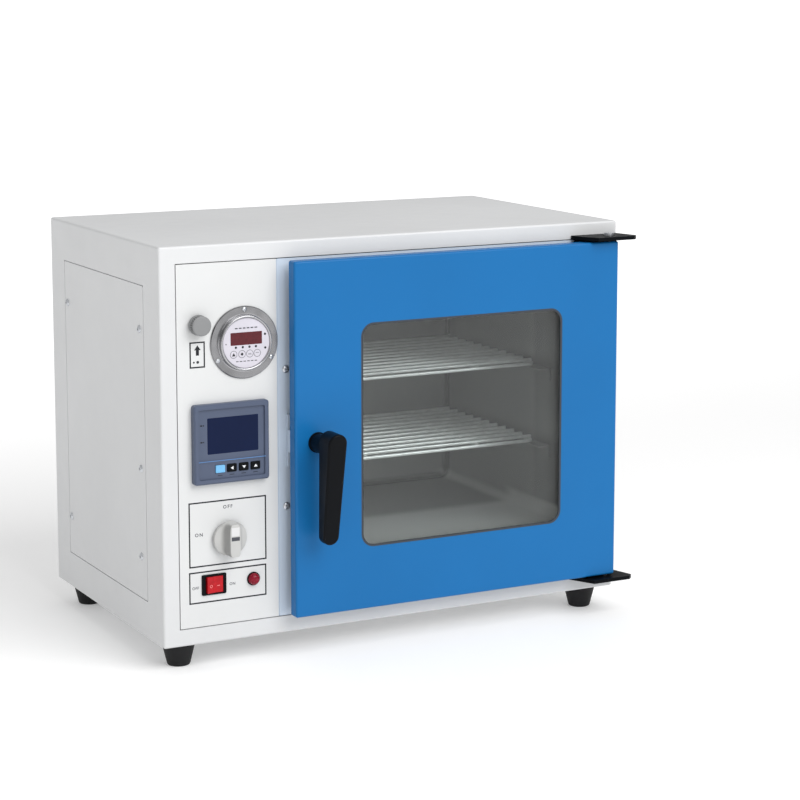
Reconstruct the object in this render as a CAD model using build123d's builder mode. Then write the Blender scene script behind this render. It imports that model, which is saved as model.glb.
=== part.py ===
"""Bench vacuum oven: cabinet, chamber, hinged glass door with a turning handle, and controls.

Millimetres. X runs left to right, Y front to back, Z up; the origin is on the floor, in the
middle of the overall box. Each piece is placed in cabinet sizes on three datum planes that meet
in the cabinet's lower left front corner: u from the left side, v from the front, w from the
bottom. "Ahead" is towards the user, which is a negative v.
"""

from build123d import *
import os

os.makedirs("parts", exist_ok=True)

# ---------------------------------------------------------------- driving sizes
# Cabinet
case_width = 550
case_height = 420
case_fold = 2.5  # outside radius of the folded corners
sheet = 1.5  # cabinet steel
border = 18  # folded flange round the front
rear_border = 14
base_border = 45  # flange under the cabinet that the feet bolt to
seam = 1.0  # gap round a flush panel
return_depth = 12  # how far the front panels' edges fold back
seat_width = 14  # inner ledge that the front panels rest on
assembly_gap = 0.3  # between pieces that only lie beside each other

# Feet
foot_height = 26
foot_top = 37
foot_bottom = 24
foot_inset = 27
foot_bore = 12

# Fasteners
screw_size = 4
screw_clearance = 0.4
dome_head = 8.4
dome_height = 2.2

# Side access panel
access_front = 43
access_rear_margin = 42
access_low = 40
access_top_margin = 44
access_ledge = 16
# its screws, in from the nearer of the front and rear edges and of the top and bottom edges
access_screw_insets = {
    "front high": (12, 47),
    "rear high": (9, 47),
    "front middle": (13, 141),
    "front low": (16, 46),
    "rear low": (8, 44),
}

# Control panel and its devices
control_width = 112
gauge_u = 93.7
gauge_level = 84.8  # centre below the top of the panel
gauge_flange = 76
gauge_rim = 58
gauge_dial = 52
gauge_rim_height = 8
gauge_screw_circle = 69.2
gauge_barrel = 60
gauge_barrel_depth = 34
display_width, display_height = 35.5, 13.3
release_u = 42
release_level = 63
release_knob = 22
release_reach = 13
release_body = 16
release_body_depth = 46
bezel_u = 76
bezel_rise = 3  # centre above the middle of the panel
bezel_width, bezel_height = 84.6, 83.8
bezel_reach = 8
controller_cutout = 68
controller_depth = 82
screen_width, screen_height = 57.4, 38.1
screen_shift, screen_rise = 1.7, 8.55  # centre from the bezel's centre
key_drop = 26.5
key_places = {"set_key": 62.9, "shift_key": 76.1, "down_key": 89.5, "up_key": 102.7}
key_width, key_height = 10.5, 8
key_proud = 1.3
key_gap = 0.35
key_travel = 0.8
valve_u = 74
valve_level = 92  # centre above the bottom of the panel
valve_skirt = 37
valve_skirt_height = 6
valve_grip_width = 10
valve_grip_reach = 19
valve_body = 30
valve_body_depth = 40
switch_u = 56.8
switch_level = 44
switch_frame_width, switch_frame_height = 27.6, 22
rocker_width, rocker_height = 18.4, 17.2
rocker_tilt = 7
rocker_reach = 4.2
lamp_u = 101.8
lamp_level = 44.5
lamp_lens = 12.5
lamp_reach = 7

# Chamber
chamber_left_space = 57  # front plate to chamber
chamber_right_space = 61
chamber_top_space = 71
chamber_rear_space = 41
chamber_low = 79
chamber_depth = 284
case_depth = chamber_depth + chamber_rear_space
chamber_corner = 12
chamber_wall = 3
rib_height = 8
rib_width = 12
rib_count = 3
rib_rear_space = 44  # last rib ahead of the chamber's back
blanket = 22
mouth_reach = 3  # flange face ahead of the front plate
mouth_width = 14
mouth_depth = 12
gasket_lip = 5
gasket_width = 12
gasket_key = 3
probe_size = 5
probe_reach = 36

# Shelves
shelf_levels = {"lower": 165, "upper": 254}
shelf_front = 62
shelf_rear_gap = 6
shelf_wire = 4
shelf_side_gap = 7
shelf_bars = 11
shelf_gap = 0.4
rail_thickness = 1.5
rail_height = 14
rail_reach = 17
rail_front = 40

# Door
door_left_space = 8  # front plate's edge to door
door_right_space = 13
door_low_space = 2
door_top_space = 20
door_face = 25  # front of the door ahead of the cabinet's front
door_thickness = 13
door_sheet = 1.5
door_edge = 2.5
window_left_border, window_right_border = 77, 72.4
window_low_border, window_high_border = 67.7, 69.5
window_corner = 15
window_trim = 2.5
outer_glass = 3
inner_glass = 8
glass_margin = 3  # inner glass past the gasket
glass_web = 2  # frame sheet between the two panes
glass_gap = 0.3

# Hinge
hinge_inset = 8  # pin from the door's right edge
hinge_v = 16.5  # pin ahead of the cabinet's front
hinge_plate = 4
hinge_clearance = 2
hinge_reach = 34
hinge_length = 47  # bracket back from the door's right edge
hinge_overhang = 7
hinge_flange = 18
bracket_sheet = 3  # flange of a hinge bracket and base of the strike
pin_size = 6
pin_length = 26
pin_running = 0.06
hinge_block = 14
hinge_block_height = 22

# Handle and latch
handle_inset = 26  # axis from the door's left edge
handle_w = 208
handle_reach = 76  # top of the grip ahead of the cabinet's front
handle_low_reach = 56
handle_top_back = 51
handle_low_back = 45
handle_above = 17  # grip above the hub's centre
handle_below = 104
handle_top_width = 21
handle_low_width = 18
handle_hub = 20
handle_edge = 2.2
spindle_size = 10
spindle_running = 0.05
bush_size = 15
bush_flange = 22
bush_flange_height = 1.5
cam_thickness = 4
cam_width = 12
cam_length = 21
cam_behind_strike = 0.5
strike_lip = 2
strike_clear = 0.8

# Rear fittings
port_u, port_w = 74, 111
port_size = 10
port_bore = 6
port_reach = 30
port_flange = 24
inlet_u, inlet_w = 115, 50
inlet_width, inlet_height = 27, 20
inlet_flange_width, inlet_flange_height = 50, 28
inlet_recess = 17
inlet_proud = 2
louvre_length = 70
louvre_height = 4
louvre_pitch = 12
louvre_rows = 9
louvre_margin = 75
louvre_drop = 150  # lowest louvre below the top

pipe_size = 8
pipe_bend = 20

# ---------------------------------------------------------------- datums
side_screw_reach = dome_height
left = -(case_width + hinge_overhang - side_screw_reach) / 2
front = -(handle_reach + case_depth + port_reach) / 2 + handle_reach
FRONT = Plane(origin=(left, front, foot_height), x_dir=(1, 0, 0), z_dir=(0, -1, 0))  # (u, w)
SIDE = Plane(origin=(left, front, foot_height), x_dir=(0, 1, 0), z_dir=(1, 0, 0))  # (v, w)
BASE = Plane(origin=(left, front, foot_height))  # (u, v)

LOW = (Align.CENTER, Align.CENTER, Align.MIN)


def area(low_x, high_x, low_y, high_y, corner=0, mode=Mode.ADD):
    """A rectangle from corner to corner of the open sketch, rounded if a radius is given."""
    with Locations(((low_x + high_x) / 2, (low_y + high_y) / 2)):
        if corner:
            RectangleRounded(high_x - low_x, high_y - low_y, corner, mode=mode)
        else:
            Rectangle(high_x - low_x, high_y - low_y, mode=mode)


def ahead(distance):
    """The front datum, moved towards the user; a negative distance is inside the cabinet."""
    return FRONT.offset(distance)


def turning(u, w, distance=0):
    """A plane through a front-to-back axis: local x is the radius, local y points at the user."""
    centre = ahead(distance).from_local_coords(Vector(u, w, 0))
    return Plane(origin=centre, x_dir=(1, 0, 0), z_dir=(0, 0, -1))


def spin(plane):
    """The axis that a turned piece on a turning plane is revolved about."""
    return Axis(plane.origin, plane.y_dir)


def crowns(piece, plane, count):
    """The count faces of a piece that lie furthest out along a plane's normal."""
    return piece.faces().sort_by(Axis(plane.origin, plane.z_dir))[-count:]


def dome_screws(plane, places, length):
    """Dome-headed screws that stand on a plane, their shanks running length below it."""
    with BuildPart() as screws:
        with BuildSketch(plane):
            with Locations(*places):
                Circle(dome_head / 2)
        extrude(amount=dome_height)
        fillet(crowns(screws, plane, len(places)).edges(), dome_height * 0.8)
        with BuildSketch(plane):
            with Locations(*places):
                Circle(screw_size / 2)
        extrude(amount=-length)
    return screws.part


def save(piece, name):
    """Label a finished piece and write it under the same name."""
    piece.label = name
    export_step(piece, f"parts/{name}.step")


# ---------------------------------------------------------------- derived places
control_left = border + seam
control_right = control_left + control_width
plate_left = control_right + seam
plate_right = case_width - border - seam
panel_low = border + seam
panel_high = case_height - border - seam
clear_hole = screw_size + screw_clearance
access_back = case_depth - access_rear_margin
access_high = case_height - access_top_margin
access_screws = [
    (
        access_front + along if "front" in place else access_back - along,
        access_low + up if "low" in place or "middle" in place else access_high - up,
    )
    for place, (along, up) in access_screw_insets.items()
]
gauge_w = panel_high - gauge_level
release_w = panel_high - release_level
bezel_w = (panel_low + panel_high) / 2 + bezel_rise
screen_left = bezel_u + screen_shift - screen_width / 2
screen_right = bezel_u + screen_shift + screen_width / 2
screen_low = bezel_w + screen_rise - screen_height / 2
screen_high = bezel_w + screen_rise + screen_height / 2
key_row = bezel_w - key_drop
valve_w = panel_low + valve_level
switch_w = panel_low + switch_level
lamp_w = panel_low + lamp_level
chamber_left = plate_left + chamber_left_space
chamber_right = case_width - chamber_right_space
chamber_width = chamber_right - chamber_left
chamber_high = case_height - chamber_top_space
rib_places = [(chamber_depth - rib_rear_space) * n / rib_count for n in range(1, rib_count + 1)]
shelf_depth = chamber_depth - shelf_front - shelf_rear_gap
door_left = plate_left + door_left_space
door_right = case_width - door_right_space
door_low = panel_low + door_low_space
door_high = case_height - door_top_space
window_left = door_left + window_left_border
window_right = door_right - window_right_border
window_low = door_low + window_low_border
window_high = door_high - window_high_border
hinge_u = door_right - hinge_inset
hinge_left = door_right - hinge_length
handle_u = door_left + handle_inset
louvre_low = case_height - louvre_drop
foot_points = [
    (u, v)
    for u in (foot_inset, case_width - foot_inset)
    for v in (foot_inset, case_depth - foot_inset)
]
mullion_left = control_right - 6
mullion_right = plate_left + 28
plate_screw_inset = 9
plate_screw_levels = (118.5, 117)  # up from the panel's bottom and down from its top
plate_screw_places = [
    (u, w)
    for u in (plate_left + plate_screw_inset, plate_right - plate_screw_inset)
    for w in (panel_low + plate_screw_levels[0], panel_high - plate_screw_levels[1])
]
hinge_screw_places = [
    (u, w)
    for u in (hinge_left + 13, case_width - 9)
    for w in (
        door_low - hinge_clearance + hinge_flange / 2,
        door_high + hinge_clearance - hinge_flange / 2,
    )
]
mouth_back = mouth_depth - mouth_reach
door_back = door_face - door_thickness
outer_glass_front = door_face - door_sheet
web_front = outer_glass_front - outer_glass
inner_glass_front = web_front - glass_web
inner_glass_back = inner_glass_front - inner_glass
gasket_front = inner_glass_back - glass_gap
cam_front = door_back - strike_clear - strike_lip - cam_behind_strike
cam_back = cam_front - cam_thickness
strike_left = door_left + door_sheet + assembly_gap
strike_right = handle_u - cam_width / 2 - 2.5
strike_screw_places = [
    ((strike_left + strike_right) / 2, handle_w + side * (cam_length + 1)) for side in (-1, 1)
]


def chamber_area(growth, mode=Mode.ADD):
    """The chamber's rounded mouth, grown all round, in a sketch on a front-facing plane."""
    area(
        chamber_left - growth,
        chamber_right + growth,
        chamber_low - growth,
        chamber_high + growth,
        chamber_corner + growth,
        mode,
    )


# ---------------------------------------------------------------- cabinet
with BuildPart() as outer_casing:
    with BuildSketch(BASE):
        area(0, case_width, 0, case_depth)
    extrude(amount=case_height)
    folds = outer_casing.edges().filter_by(Axis.Y)
    fillet(folds + outer_casing.faces().sort_by(Axis.Y).first.edges(), case_fold)
    with BuildSketch(ahead(-sheet)):
        area(sheet, case_width - sheet, sheet, case_height - sheet)
    extrude(amount=-(case_depth - 3 * sheet), mode=Mode.SUBTRACT)
    with BuildSketch(FRONT):
        area(border, case_width - border, border, case_height - border)
    extrude(amount=-sheet, mode=Mode.SUBTRACT)
    # the front flange folds back and in again, and so carries the front panels
    with BuildSketch(ahead(-sheet)):
        area(border - sheet, case_width - border + sheet, border - sheet, case_height - border + sheet)
        area(border, case_width - border, border, case_height - border, mode=Mode.SUBTRACT)
    extrude(amount=-return_depth)
    with BuildSketch(ahead(-return_depth)):
        area(border, case_width - border, border, case_height - border)
        inner = border + seat_width
        area(inner, mullion_left, inner, case_height - inner, mode=Mode.SUBTRACT)
        area(mullion_right, case_width - inner, inner, case_height - inner, mode=Mode.SUBTRACT)
    extrude(amount=-sheet)
    # recess and opening for the rear panel
    with BuildSketch(ahead(sheet - case_depth)):
        area(sheet, case_width - sheet, sheet, case_height - sheet)
    extrude(amount=-sheet, mode=Mode.SUBTRACT)
    with BuildSketch(ahead(2 * sheet - case_depth)):
        area(rear_border, case_width - rear_border, rear_border, case_height - rear_border)
    extrude(amount=-sheet, mode=Mode.SUBTRACT)
    # bottom opening, and holes for the screws of the feet
    with BuildSketch(BASE):
        area(base_border, case_width - base_border, base_border, case_depth - base_border)
        with Locations(*foot_points):
            Circle(clear_hole / 2)
    extrude(amount=sheet, mode=Mode.SUBTRACT)
    # side opening with the ledge that its panel is screwed to
    with BuildSketch(SIDE.offset(sheet)):
        out = access_ledge / 2
        area(access_front - out, access_back + out, access_low - out, access_high + out)
        area(
            access_front + access_ledge,
            access_back - access_ledge,
            access_low + access_ledge,
            access_high - access_ledge,
            mode=Mode.SUBTRACT,
        )
    extrude(amount=sheet)
    with BuildSketch(SIDE):
        area(access_front, access_back, access_low, access_high)
    extrude(amount=sheet, mode=Mode.SUBTRACT)
    with BuildSketch(SIDE):
        with Locations(*access_screws):
            Circle(clear_hole / 2)
    extrude(amount=3 * sheet, mode=Mode.SUBTRACT)
    with BuildSketch(FRONT):
        with Locations(*hinge_screw_places):
            Circle(clear_hole / 2)
    extrude(amount=-sheet, mode=Mode.SUBTRACT)
    with BuildSketch(ahead(-return_depth)):
        with Locations(*plate_screw_places):
            Circle(clear_hole / 2)
    extrude(amount=-sheet, mode=Mode.SUBTRACT)
    rear_screw_places = [
        (u, w)
        for u in (rear_border / 2 + sheet, case_width / 2, case_width - rear_border / 2 - sheet)
        for w in (rear_border / 2 + sheet, case_height / 2, case_height - rear_border / 2 - sheet)
        if (u, w) != (case_width / 2, case_height / 2)
    ]
    with BuildSketch(ahead(2 * sheet - case_depth)):
        with Locations(*rear_screw_places):
            Circle(clear_hole / 2)
    extrude(amount=-sheet, mode=Mode.SUBTRACT)
save(outer_casing.part, "outer_casing")

pan_edge = sheet + assembly_gap
with BuildPart() as base_pan:
    with BuildSketch(BASE.offset(sheet)):
        area(pan_edge, case_width - pan_edge, pan_edge, case_depth - 2 * sheet - assembly_gap)
    extrude(amount=return_depth)
    with BuildSketch(BASE.offset(2 * sheet)):
        area(
            pan_edge + sheet,
            case_width - pan_edge - sheet,
            pan_edge,
            case_depth - 2 * sheet - assembly_gap,
        )
    extrude(amount=return_depth, mode=Mode.SUBTRACT)
    with BuildSketch(BASE.offset(sheet)):
        with Locations(*foot_points):
            Circle(clear_hole / 2)
        with Locations((case_width - 100, case_depth / 2)):
            with GridLocations(60, 14, 2, 9):
                SlotOverall(44, 5)
    extrude(amount=sheet, mode=Mode.SUBTRACT)
save(base_pan.part, "base_pan")

with BuildPart() as rubber_feet:
    with Locations(BASE.offset(-foot_height)):
        with Locations(*foot_points):
            Cone(foot_bottom / 2, foot_top / 2, foot_height, align=LOW)
    ground = rubber_feet.faces().group_by(Axis.Z)[0]
    fillet(ground.edges(), 2)
    with BuildSketch(BASE.offset(-foot_height)):
        with Locations(*foot_points):
            Circle(foot_bore / 2)
    extrude(amount=foot_height * 0.6, mode=Mode.SUBTRACT)
    with BuildSketch(BASE):
        with Locations(*foot_points):
            Circle(clear_hole / 2)
    extrude(amount=-foot_height, mode=Mode.SUBTRACT)
save(rubber_feet.part, "rubber_feet")

with BuildPart() as foot_screws:
    seat_height = foot_height * 0.6 - foot_height
    with BuildSketch(BASE.offset(seat_height)):
        with Locations(*foot_points):
            Circle(dome_head / 2)
    extrude(amount=-dome_height)
    fillet(foot_screws.faces().group_by(Axis.Z)[0].edges(), 1)
    with BuildSketch(BASE.offset(seat_height)):
        with Locations(*foot_points):
            Circle(screw_size / 2)
    extrude(amount=-seat_height + 2 * sheet + 5)
    with BuildSketch(BASE.offset(2 * sheet)):
        with Locations(*foot_points):
            RegularPolygon(screw_size, 6)
    extrude(amount=3)
save(foot_screws.part, "foot_screws")

with BuildPart() as access_panel:
    with BuildSketch(SIDE):
        area(access_front + seam, access_back - seam, access_low + seam, access_high - seam, 2)
        with Locations(*access_screws):
            Circle(clear_hole / 2, mode=Mode.SUBTRACT)
    extrude(amount=sheet)
save(access_panel.part, "access_panel")

OUTSIDE_LEFT = Plane(origin=SIDE.origin, x_dir=(0, -1, 0), z_dir=(-1, 0, 0))
save(
    dome_screws(OUTSIDE_LEFT, [(-v, w) for v, w in access_screws], 3 * sheet + 4),
    "access_panel_screws",
)

# ---------------------------------------------------------------- front panels


def front_pan(low_u, high_u):
    """A front panel from border to border, its four edges folded back on to the seat."""
    with BuildPart() as pan:
        with BuildSketch(FRONT):
            area(low_u, high_u, panel_low, panel_high)
        extrude(amount=-return_depth)
        with BuildSketch(ahead(-sheet)):
            area(low_u + sheet, high_u - sheet, panel_low + sheet, panel_high - sheet)
        extrude(amount=-return_depth, mode=Mode.SUBTRACT)
    return pan.part


with BuildPart() as front_plate:
    add(front_pan(plate_left, plate_right))
    with BuildSketch(FRONT):
        chamber_area(mouth_width + seam)
        with Locations(*plate_screw_places, *strike_screw_places, *hinge_screw_places):
            Circle(clear_hole / 2)
    extrude(amount=-sheet, mode=Mode.SUBTRACT)
save(front_plate.part, "front_plate")

save(dome_screws(FRONT, plate_screw_places, return_depth + 2 * sheet - 0.5), "front_plate_screws")

with BuildPart() as control_panel:
    add(front_pan(control_left, control_right))
    with BuildSketch(FRONT):
        with Locations((gauge_u, gauge_w)):
            Circle(gauge_barrel / 2 + assembly_gap)
            with PolarLocations(gauge_screw_circle / 2, 3, start_angle=90):
                Circle(3 / 2 + assembly_gap)
        with Locations((release_u, release_w)):
            Circle(release_body / 4 + 1 + assembly_gap)
        with Locations((bezel_u, bezel_w)):
            Rectangle(controller_cutout + 2 * assembly_gap, controller_cutout + 2 * assembly_gap)
        with Locations((valve_u, valve_w)):
            Circle(valve_body / 4 + assembly_gap)
        with Locations((switch_u, switch_w)):
            Rectangle(switch_frame_width - 2, switch_frame_height - 2)
        with Locations((lamp_u, lamp_w)):
            Circle(lamp_lens / 2 - 1 + assembly_gap)
    extrude(amount=-sheet, mode=Mode.SUBTRACT)
save(control_panel.part, "control_panel")

# ---------------------------------------------------------------- vacuum gauge
gauge = turning(gauge_u, gauge_w)
flange_thickness = 2
with BuildPart() as gauge_bezel:
    with BuildSketch(gauge):
        with BuildLine():
            Polyline(
                (gauge_dial / 2, 0),
                (gauge_flange / 2, 0),
                (gauge_flange / 2, flange_thickness - 0.8),
                (gauge_flange / 2 - 0.8, flange_thickness),
                (gauge_rim / 2 + 0.6, flange_thickness),
                (gauge_rim / 2, flange_thickness + 0.8),
                (gauge_rim / 2, gauge_rim_height - 1.4),
            )
            ThreePointArc(
                (gauge_rim / 2, gauge_rim_height - 1.4),
                (gauge_rim / 2 - 1.2, gauge_rim_height),
                (gauge_dial / 2 + 0.4, gauge_rim_height - 0.9),
            )
            Polyline(
                (gauge_dial / 2 + 0.4, gauge_rim_height - 0.9),
                (gauge_dial / 2, gauge_rim_height - 2.2),
                (gauge_dial / 2, 0),
            )
        make_face()
    revolve(axis=spin(gauge))
    with BuildSketch(FRONT):
        with Locations((gauge_u, gauge_w)):
            with PolarLocations(gauge_screw_circle / 2, 3, start_angle=90):
                Circle(3 / 2 + 0.2)
    extrude(amount=gauge_rim_height, mode=Mode.SUBTRACT)
save(gauge_bezel.part, "gauge_bezel")

dial_front = gauge_rim_height - 1.6
display_depth = 1.5
with BuildPart() as gauge_face:
    with BuildSketch(FRONT):
        with Locations((gauge_u, gauge_w)):
            Circle(gauge_dial / 2)
    extrude(amount=dial_front)
    with BuildSketch(ahead(dial_front)):
        with Locations((gauge_u, gauge_w + 4.8)):
            RectangleRounded(display_width, display_height, 0.8)
    extrude(amount=-display_depth, mode=Mode.SUBTRACT)
save(gauge_face.part, "gauge_face")

with BuildPart() as gauge_window:
    with BuildSketch(ahead(dial_front - display_depth)):
        with Locations((gauge_u, gauge_w + 4.8)):
            RectangleRounded(display_width, display_height, 0.8)
    extrude(amount=display_depth)
save(gauge_window.part, "gauge_window")

with BuildPart() as gauge_body:
    with BuildSketch(gauge):
        with BuildLine():
            Polyline(
                (0, 0),
                (gauge_barrel / 2, 0),
                (gauge_barrel / 2, -gauge_barrel_depth),
                (pipe_size, -gauge_barrel_depth),
                (pipe_size, -gauge_barrel_depth - 8),
                (0, -gauge_barrel_depth - 8),
                close=True,
            )
        make_face()
    revolve(axis=spin(gauge))
save(gauge_body.part, "gauge_body")

with BuildPart() as gauge_screws:
    with BuildSketch(ahead(flange_thickness)):
        with Locations((gauge_u, gauge_w)):
            with PolarLocations(gauge_screw_circle / 2, 3, start_angle=90):
                Circle(2.6)
    extrude(amount=1.4)
    fillet(crowns(gauge_screws, FRONT, 3).edges(), 1)
    with BuildSketch(ahead(flange_thickness)):
        with Locations((gauge_u, gauge_w)):
            with PolarLocations(gauge_screw_circle / 2, 3, start_angle=90):
                Circle(3 / 2)
    extrude(amount=-(flange_thickness + sheet + 5))
save(gauge_screws.part, "gauge_screws")

# ---------------------------------------------------------------- air release valve
release = turning(release_u, release_w)
release_neck = release_body / 4 + 1
release_stem = 5
with BuildPart() as air_valve_body:
    with BuildSketch(release):
        with BuildLine():
            Polyline(
                (release_stem / 2 + spindle_running, 1.5),
                (release_neck, 1.5),
                (release_neck, -sheet),
                (release_body / 2, -sheet),
                (release_body / 2, -release_body_depth),
                (0, -release_body_depth),
                (0, -12),
                (release_stem / 2 + spindle_running, -12),
                close=True,
            )
        make_face()
    revolve(axis=spin(release))
save(air_valve_body.part, "air_valve_body")

with BuildPart() as air_valve_knob:
    with BuildSketch(release):
        with BuildLine():
            Polyline(
                (0, -9),
                (release_stem / 2, -9),
                (release_stem / 2, 2),
                (release_knob / 2 - 2, 2),
                (release_knob / 2 - 2, 3.5),
                (release_knob / 2, 4),
                (release_knob / 2, release_reach - 1),
                (release_knob / 2 - 1, release_reach),
                (0, release_reach),
                close=True,
            )
        make_face()
    revolve(axis=spin(release))
    with BuildSketch(ahead(release_reach)):
        with Locations((release_u, release_w)):
            with PolarLocations(release_knob / 2 + 0.35, 22):
                Circle(0.9)
    extrude(amount=4 - release_reach, mode=Mode.SUBTRACT)
save(air_valve_knob.part, "air_valve_knob")

# ---------------------------------------------------------------- temperature controller
bezel_left, bezel_right = bezel_u - bezel_width / 2, bezel_u + bezel_width / 2
bezel_low, bezel_high = bezel_w - bezel_height / 2, bezel_w + bezel_height / 2
bezel_rim = 5
bezel_face = bezel_reach - 2
screen_depth = 1.5
key_floor = 1.5
with BuildPart() as controller_bezel:
    with BuildSketch(FRONT):
        area(bezel_left, bezel_right, bezel_low, bezel_high, 3)
    extrude(amount=bezel_reach)
    chamfer(crowns(controller_bezel, FRONT, 1).edges(), 1.6)
    with BuildSketch(ahead(bezel_reach)):
        area(
            bezel_left + bezel_rim,
            bezel_right - bezel_rim,
            bezel_low + bezel_rim,
            bezel_high - bezel_rim,
            2,
        )
    extrude(amount=bezel_face - bezel_reach, mode=Mode.SUBTRACT)
    with BuildSketch(ahead(bezel_face)):
        area(screen_left, screen_right, screen_low, screen_high, 1)
    extrude(amount=-screen_depth, mode=Mode.SUBTRACT)
    with BuildSketch(ahead(bezel_face)):
        with Locations(*[(u, key_row) for u in key_places.values()]):
            RectangleRounded(key_width + 2 * key_gap, key_height + 2 * key_gap, 1.2)
    extrude(amount=key_floor - bezel_face, mode=Mode.SUBTRACT)
save(controller_bezel.part, "controller_bezel")

with BuildPart() as controller_screen:
    with BuildSketch(ahead(bezel_face - screen_depth)):
        area(screen_left, screen_right, screen_low, screen_high, 1)
    extrude(amount=screen_depth)
save(controller_screen.part, "controller_screen")

with BuildPart() as controller_body:
    with BuildSketch(FRONT):
        with Locations((bezel_u, bezel_w)):
            RectangleRounded(controller_cutout, controller_cutout, 2)
    extrude(amount=-controller_depth)
save(controller_body.part, "controller_body")

for key_name, key_u in key_places.items():
    with BuildPart() as key:
        with BuildSketch(ahead(key_floor + 2 * key_travel)):
            with Locations((key_u, key_row)):
                RectangleRounded(key_width, key_height, 1)
        extrude(amount=bezel_face + key_proud - key_floor - 2 * key_travel)
        fillet(crowns(key, FRONT, 1).edges(), 0.6)
    save(key.part, key_name)

# ---------------------------------------------------------------- vacuum valve
valve = turning(valve_u, valve_w)
valve_neck = valve_body / 4
valve_stem = 6
with BuildPart() as vacuum_valve_body:
    with BuildSketch(valve):
        with BuildLine():
            Polyline(
                (valve_stem / 2 + spindle_running, 2),
                (valve_neck, 2),
                (valve_neck, -sheet),
                (valve_body / 2, -sheet),
                (valve_body / 2, -sheet - valve_body_depth),
                (0, -sheet - valve_body_depth),
                (0, -14),
                (valve_stem / 2 + spindle_running, -14),
                close=True,
            )
        make_face()
    revolve(axis=spin(valve))
save(vacuum_valve_body.part, "vacuum_valve_body")

with BuildPart() as vacuum_valve_knob:
    with BuildSketch(valve):
        with BuildLine():
            Polyline(
                (0, -11),
                (valve_stem / 2, -11),
                (valve_stem / 2, 2.5),
                (valve_skirt / 2 - 0.8, 2.5),
                (valve_skirt / 2, 3.3),
                (valve_skirt / 2, valve_skirt_height),
                (valve_skirt / 2 - 3, valve_skirt_height + 2.5),
                (0, valve_skirt_height + 2.5),
                close=True,
            )
        make_face()
    revolve(axis=spin(valve))
    with BuildSketch(ahead(valve_skirt_height)):
        with Locations((valve_u, valve_w)):
            SlotOverall(valve_skirt - 1, valve_grip_width, rotation=90)
    extrude(amount=valve_grip_reach - valve_skirt_height, taper=4)
    fillet(crowns(vacuum_valve_knob, FRONT, 1).edges(), 1.5)
save(vacuum_valve_knob.part, "vacuum_valve_knob")

# ---------------------------------------------------------------- power switch and lamp
rocker_opening = rocker_width / 2 + 0.9
rocker_pocket = 6
trunnion = 3
with BuildPart() as switch_body:
    with BuildSketch(FRONT):
        with Locations((switch_u, switch_w)):
            RectangleRounded(switch_frame_width, switch_frame_height, 1.5)
    extrude(amount=2)
    chamfer(crowns(switch_body, FRONT, 1).edges(), 0.8)
    with BuildSketch(FRONT):
        with Locations((switch_u, switch_w)):
            Rectangle(switch_frame_width - 2.6, switch_frame_height - 2.6)
    extrude(amount=-24)
    with BuildSketch(ahead(2)):
        with Locations((switch_u, switch_w)):
            Rectangle(2 * rocker_opening, rocker_height + 0.8)
    extrude(amount=-2 - rocker_pocket, mode=Mode.SUBTRACT)
    with BuildSketch(BASE.offset(switch_w)):
        with Locations((switch_u, 0)):
            Circle(trunnion / 2 + spindle_running)
    extrude(amount=rocker_height / 2 + 1.2, both=True, mode=Mode.SUBTRACT)
save(switch_body.part, "switch_body")

ROCKER = Plane(
    origin=BASE.from_local_coords(Vector(switch_u, 0, switch_w)), x_dir=(1, 0, 0), z_dir=(0, 0, -1)
).rotated((0, 0, rocker_tilt))
with BuildPart() as power_rocker:
    with BuildSketch(ROCKER):
        half = rocker_width / 2
        with BuildLine():
            Polyline(
                (-half + 0.6, -2),
                (-half, rocker_reach - 1),
                (0, rocker_reach - 2),
                (half, rocker_reach - 1),
                (half - 0.6, -2),
                close=True,
            )
        make_face()
    extrude(amount=rocker_height / 2, both=True)
    with BuildSketch(ROCKER):
        Circle(trunnion / 2)
    extrude(amount=rocker_height / 2 + 0.9, both=True)
save(power_rocker.part, "power_rocker")

lamp = turning(lamp_u, lamp_w)
lamp_ring = 1.2
with BuildPart() as lamp_holder:
    with BuildSketch(lamp):
        with BuildLine():
            Polyline(
                (0, lamp_ring),
                (lamp_lens / 2 + 1, lamp_ring),
                (lamp_lens / 2 + 1, 0),
                (lamp_lens / 2 - 1, 0),
                (lamp_lens / 2 - 1, -24),
                (0, -24),
                close=True,
            )
        make_face()
    revolve(axis=spin(lamp))
save(lamp_holder.part, "lamp_holder")

with BuildPart() as lamp_cap:
    with BuildSketch(ahead(lamp_ring)):
        with Locations((lamp_u, lamp_w)):
            Circle(lamp_lens / 2)
    extrude(amount=lamp_reach - lamp_ring)
    fillet(crowns(lamp_cap, FRONT, 1).edges(), lamp_reach - lamp_ring - 2)
save(lamp_cap.part, "lamp_lens")

# ---------------------------------------------------------------- chamber
suction_v, suction_w = 200, 111
release_pipe_v = 110
gauge_pipe_v = 130
probe_u, probe_w = chamber_left + chamber_width / 2, chamber_high - 18
leg_points = [
    (u, v) for u in (chamber_left + 30, chamber_right - 30) for v in (rib_places[0], rib_places[-1])
]
wall_ports = [(suction_v, suction_w), (release_pipe_v, release_w), (gauge_pipe_v, gauge_w)]
back_plane = -(chamber_depth + chamber_wall)

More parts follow.
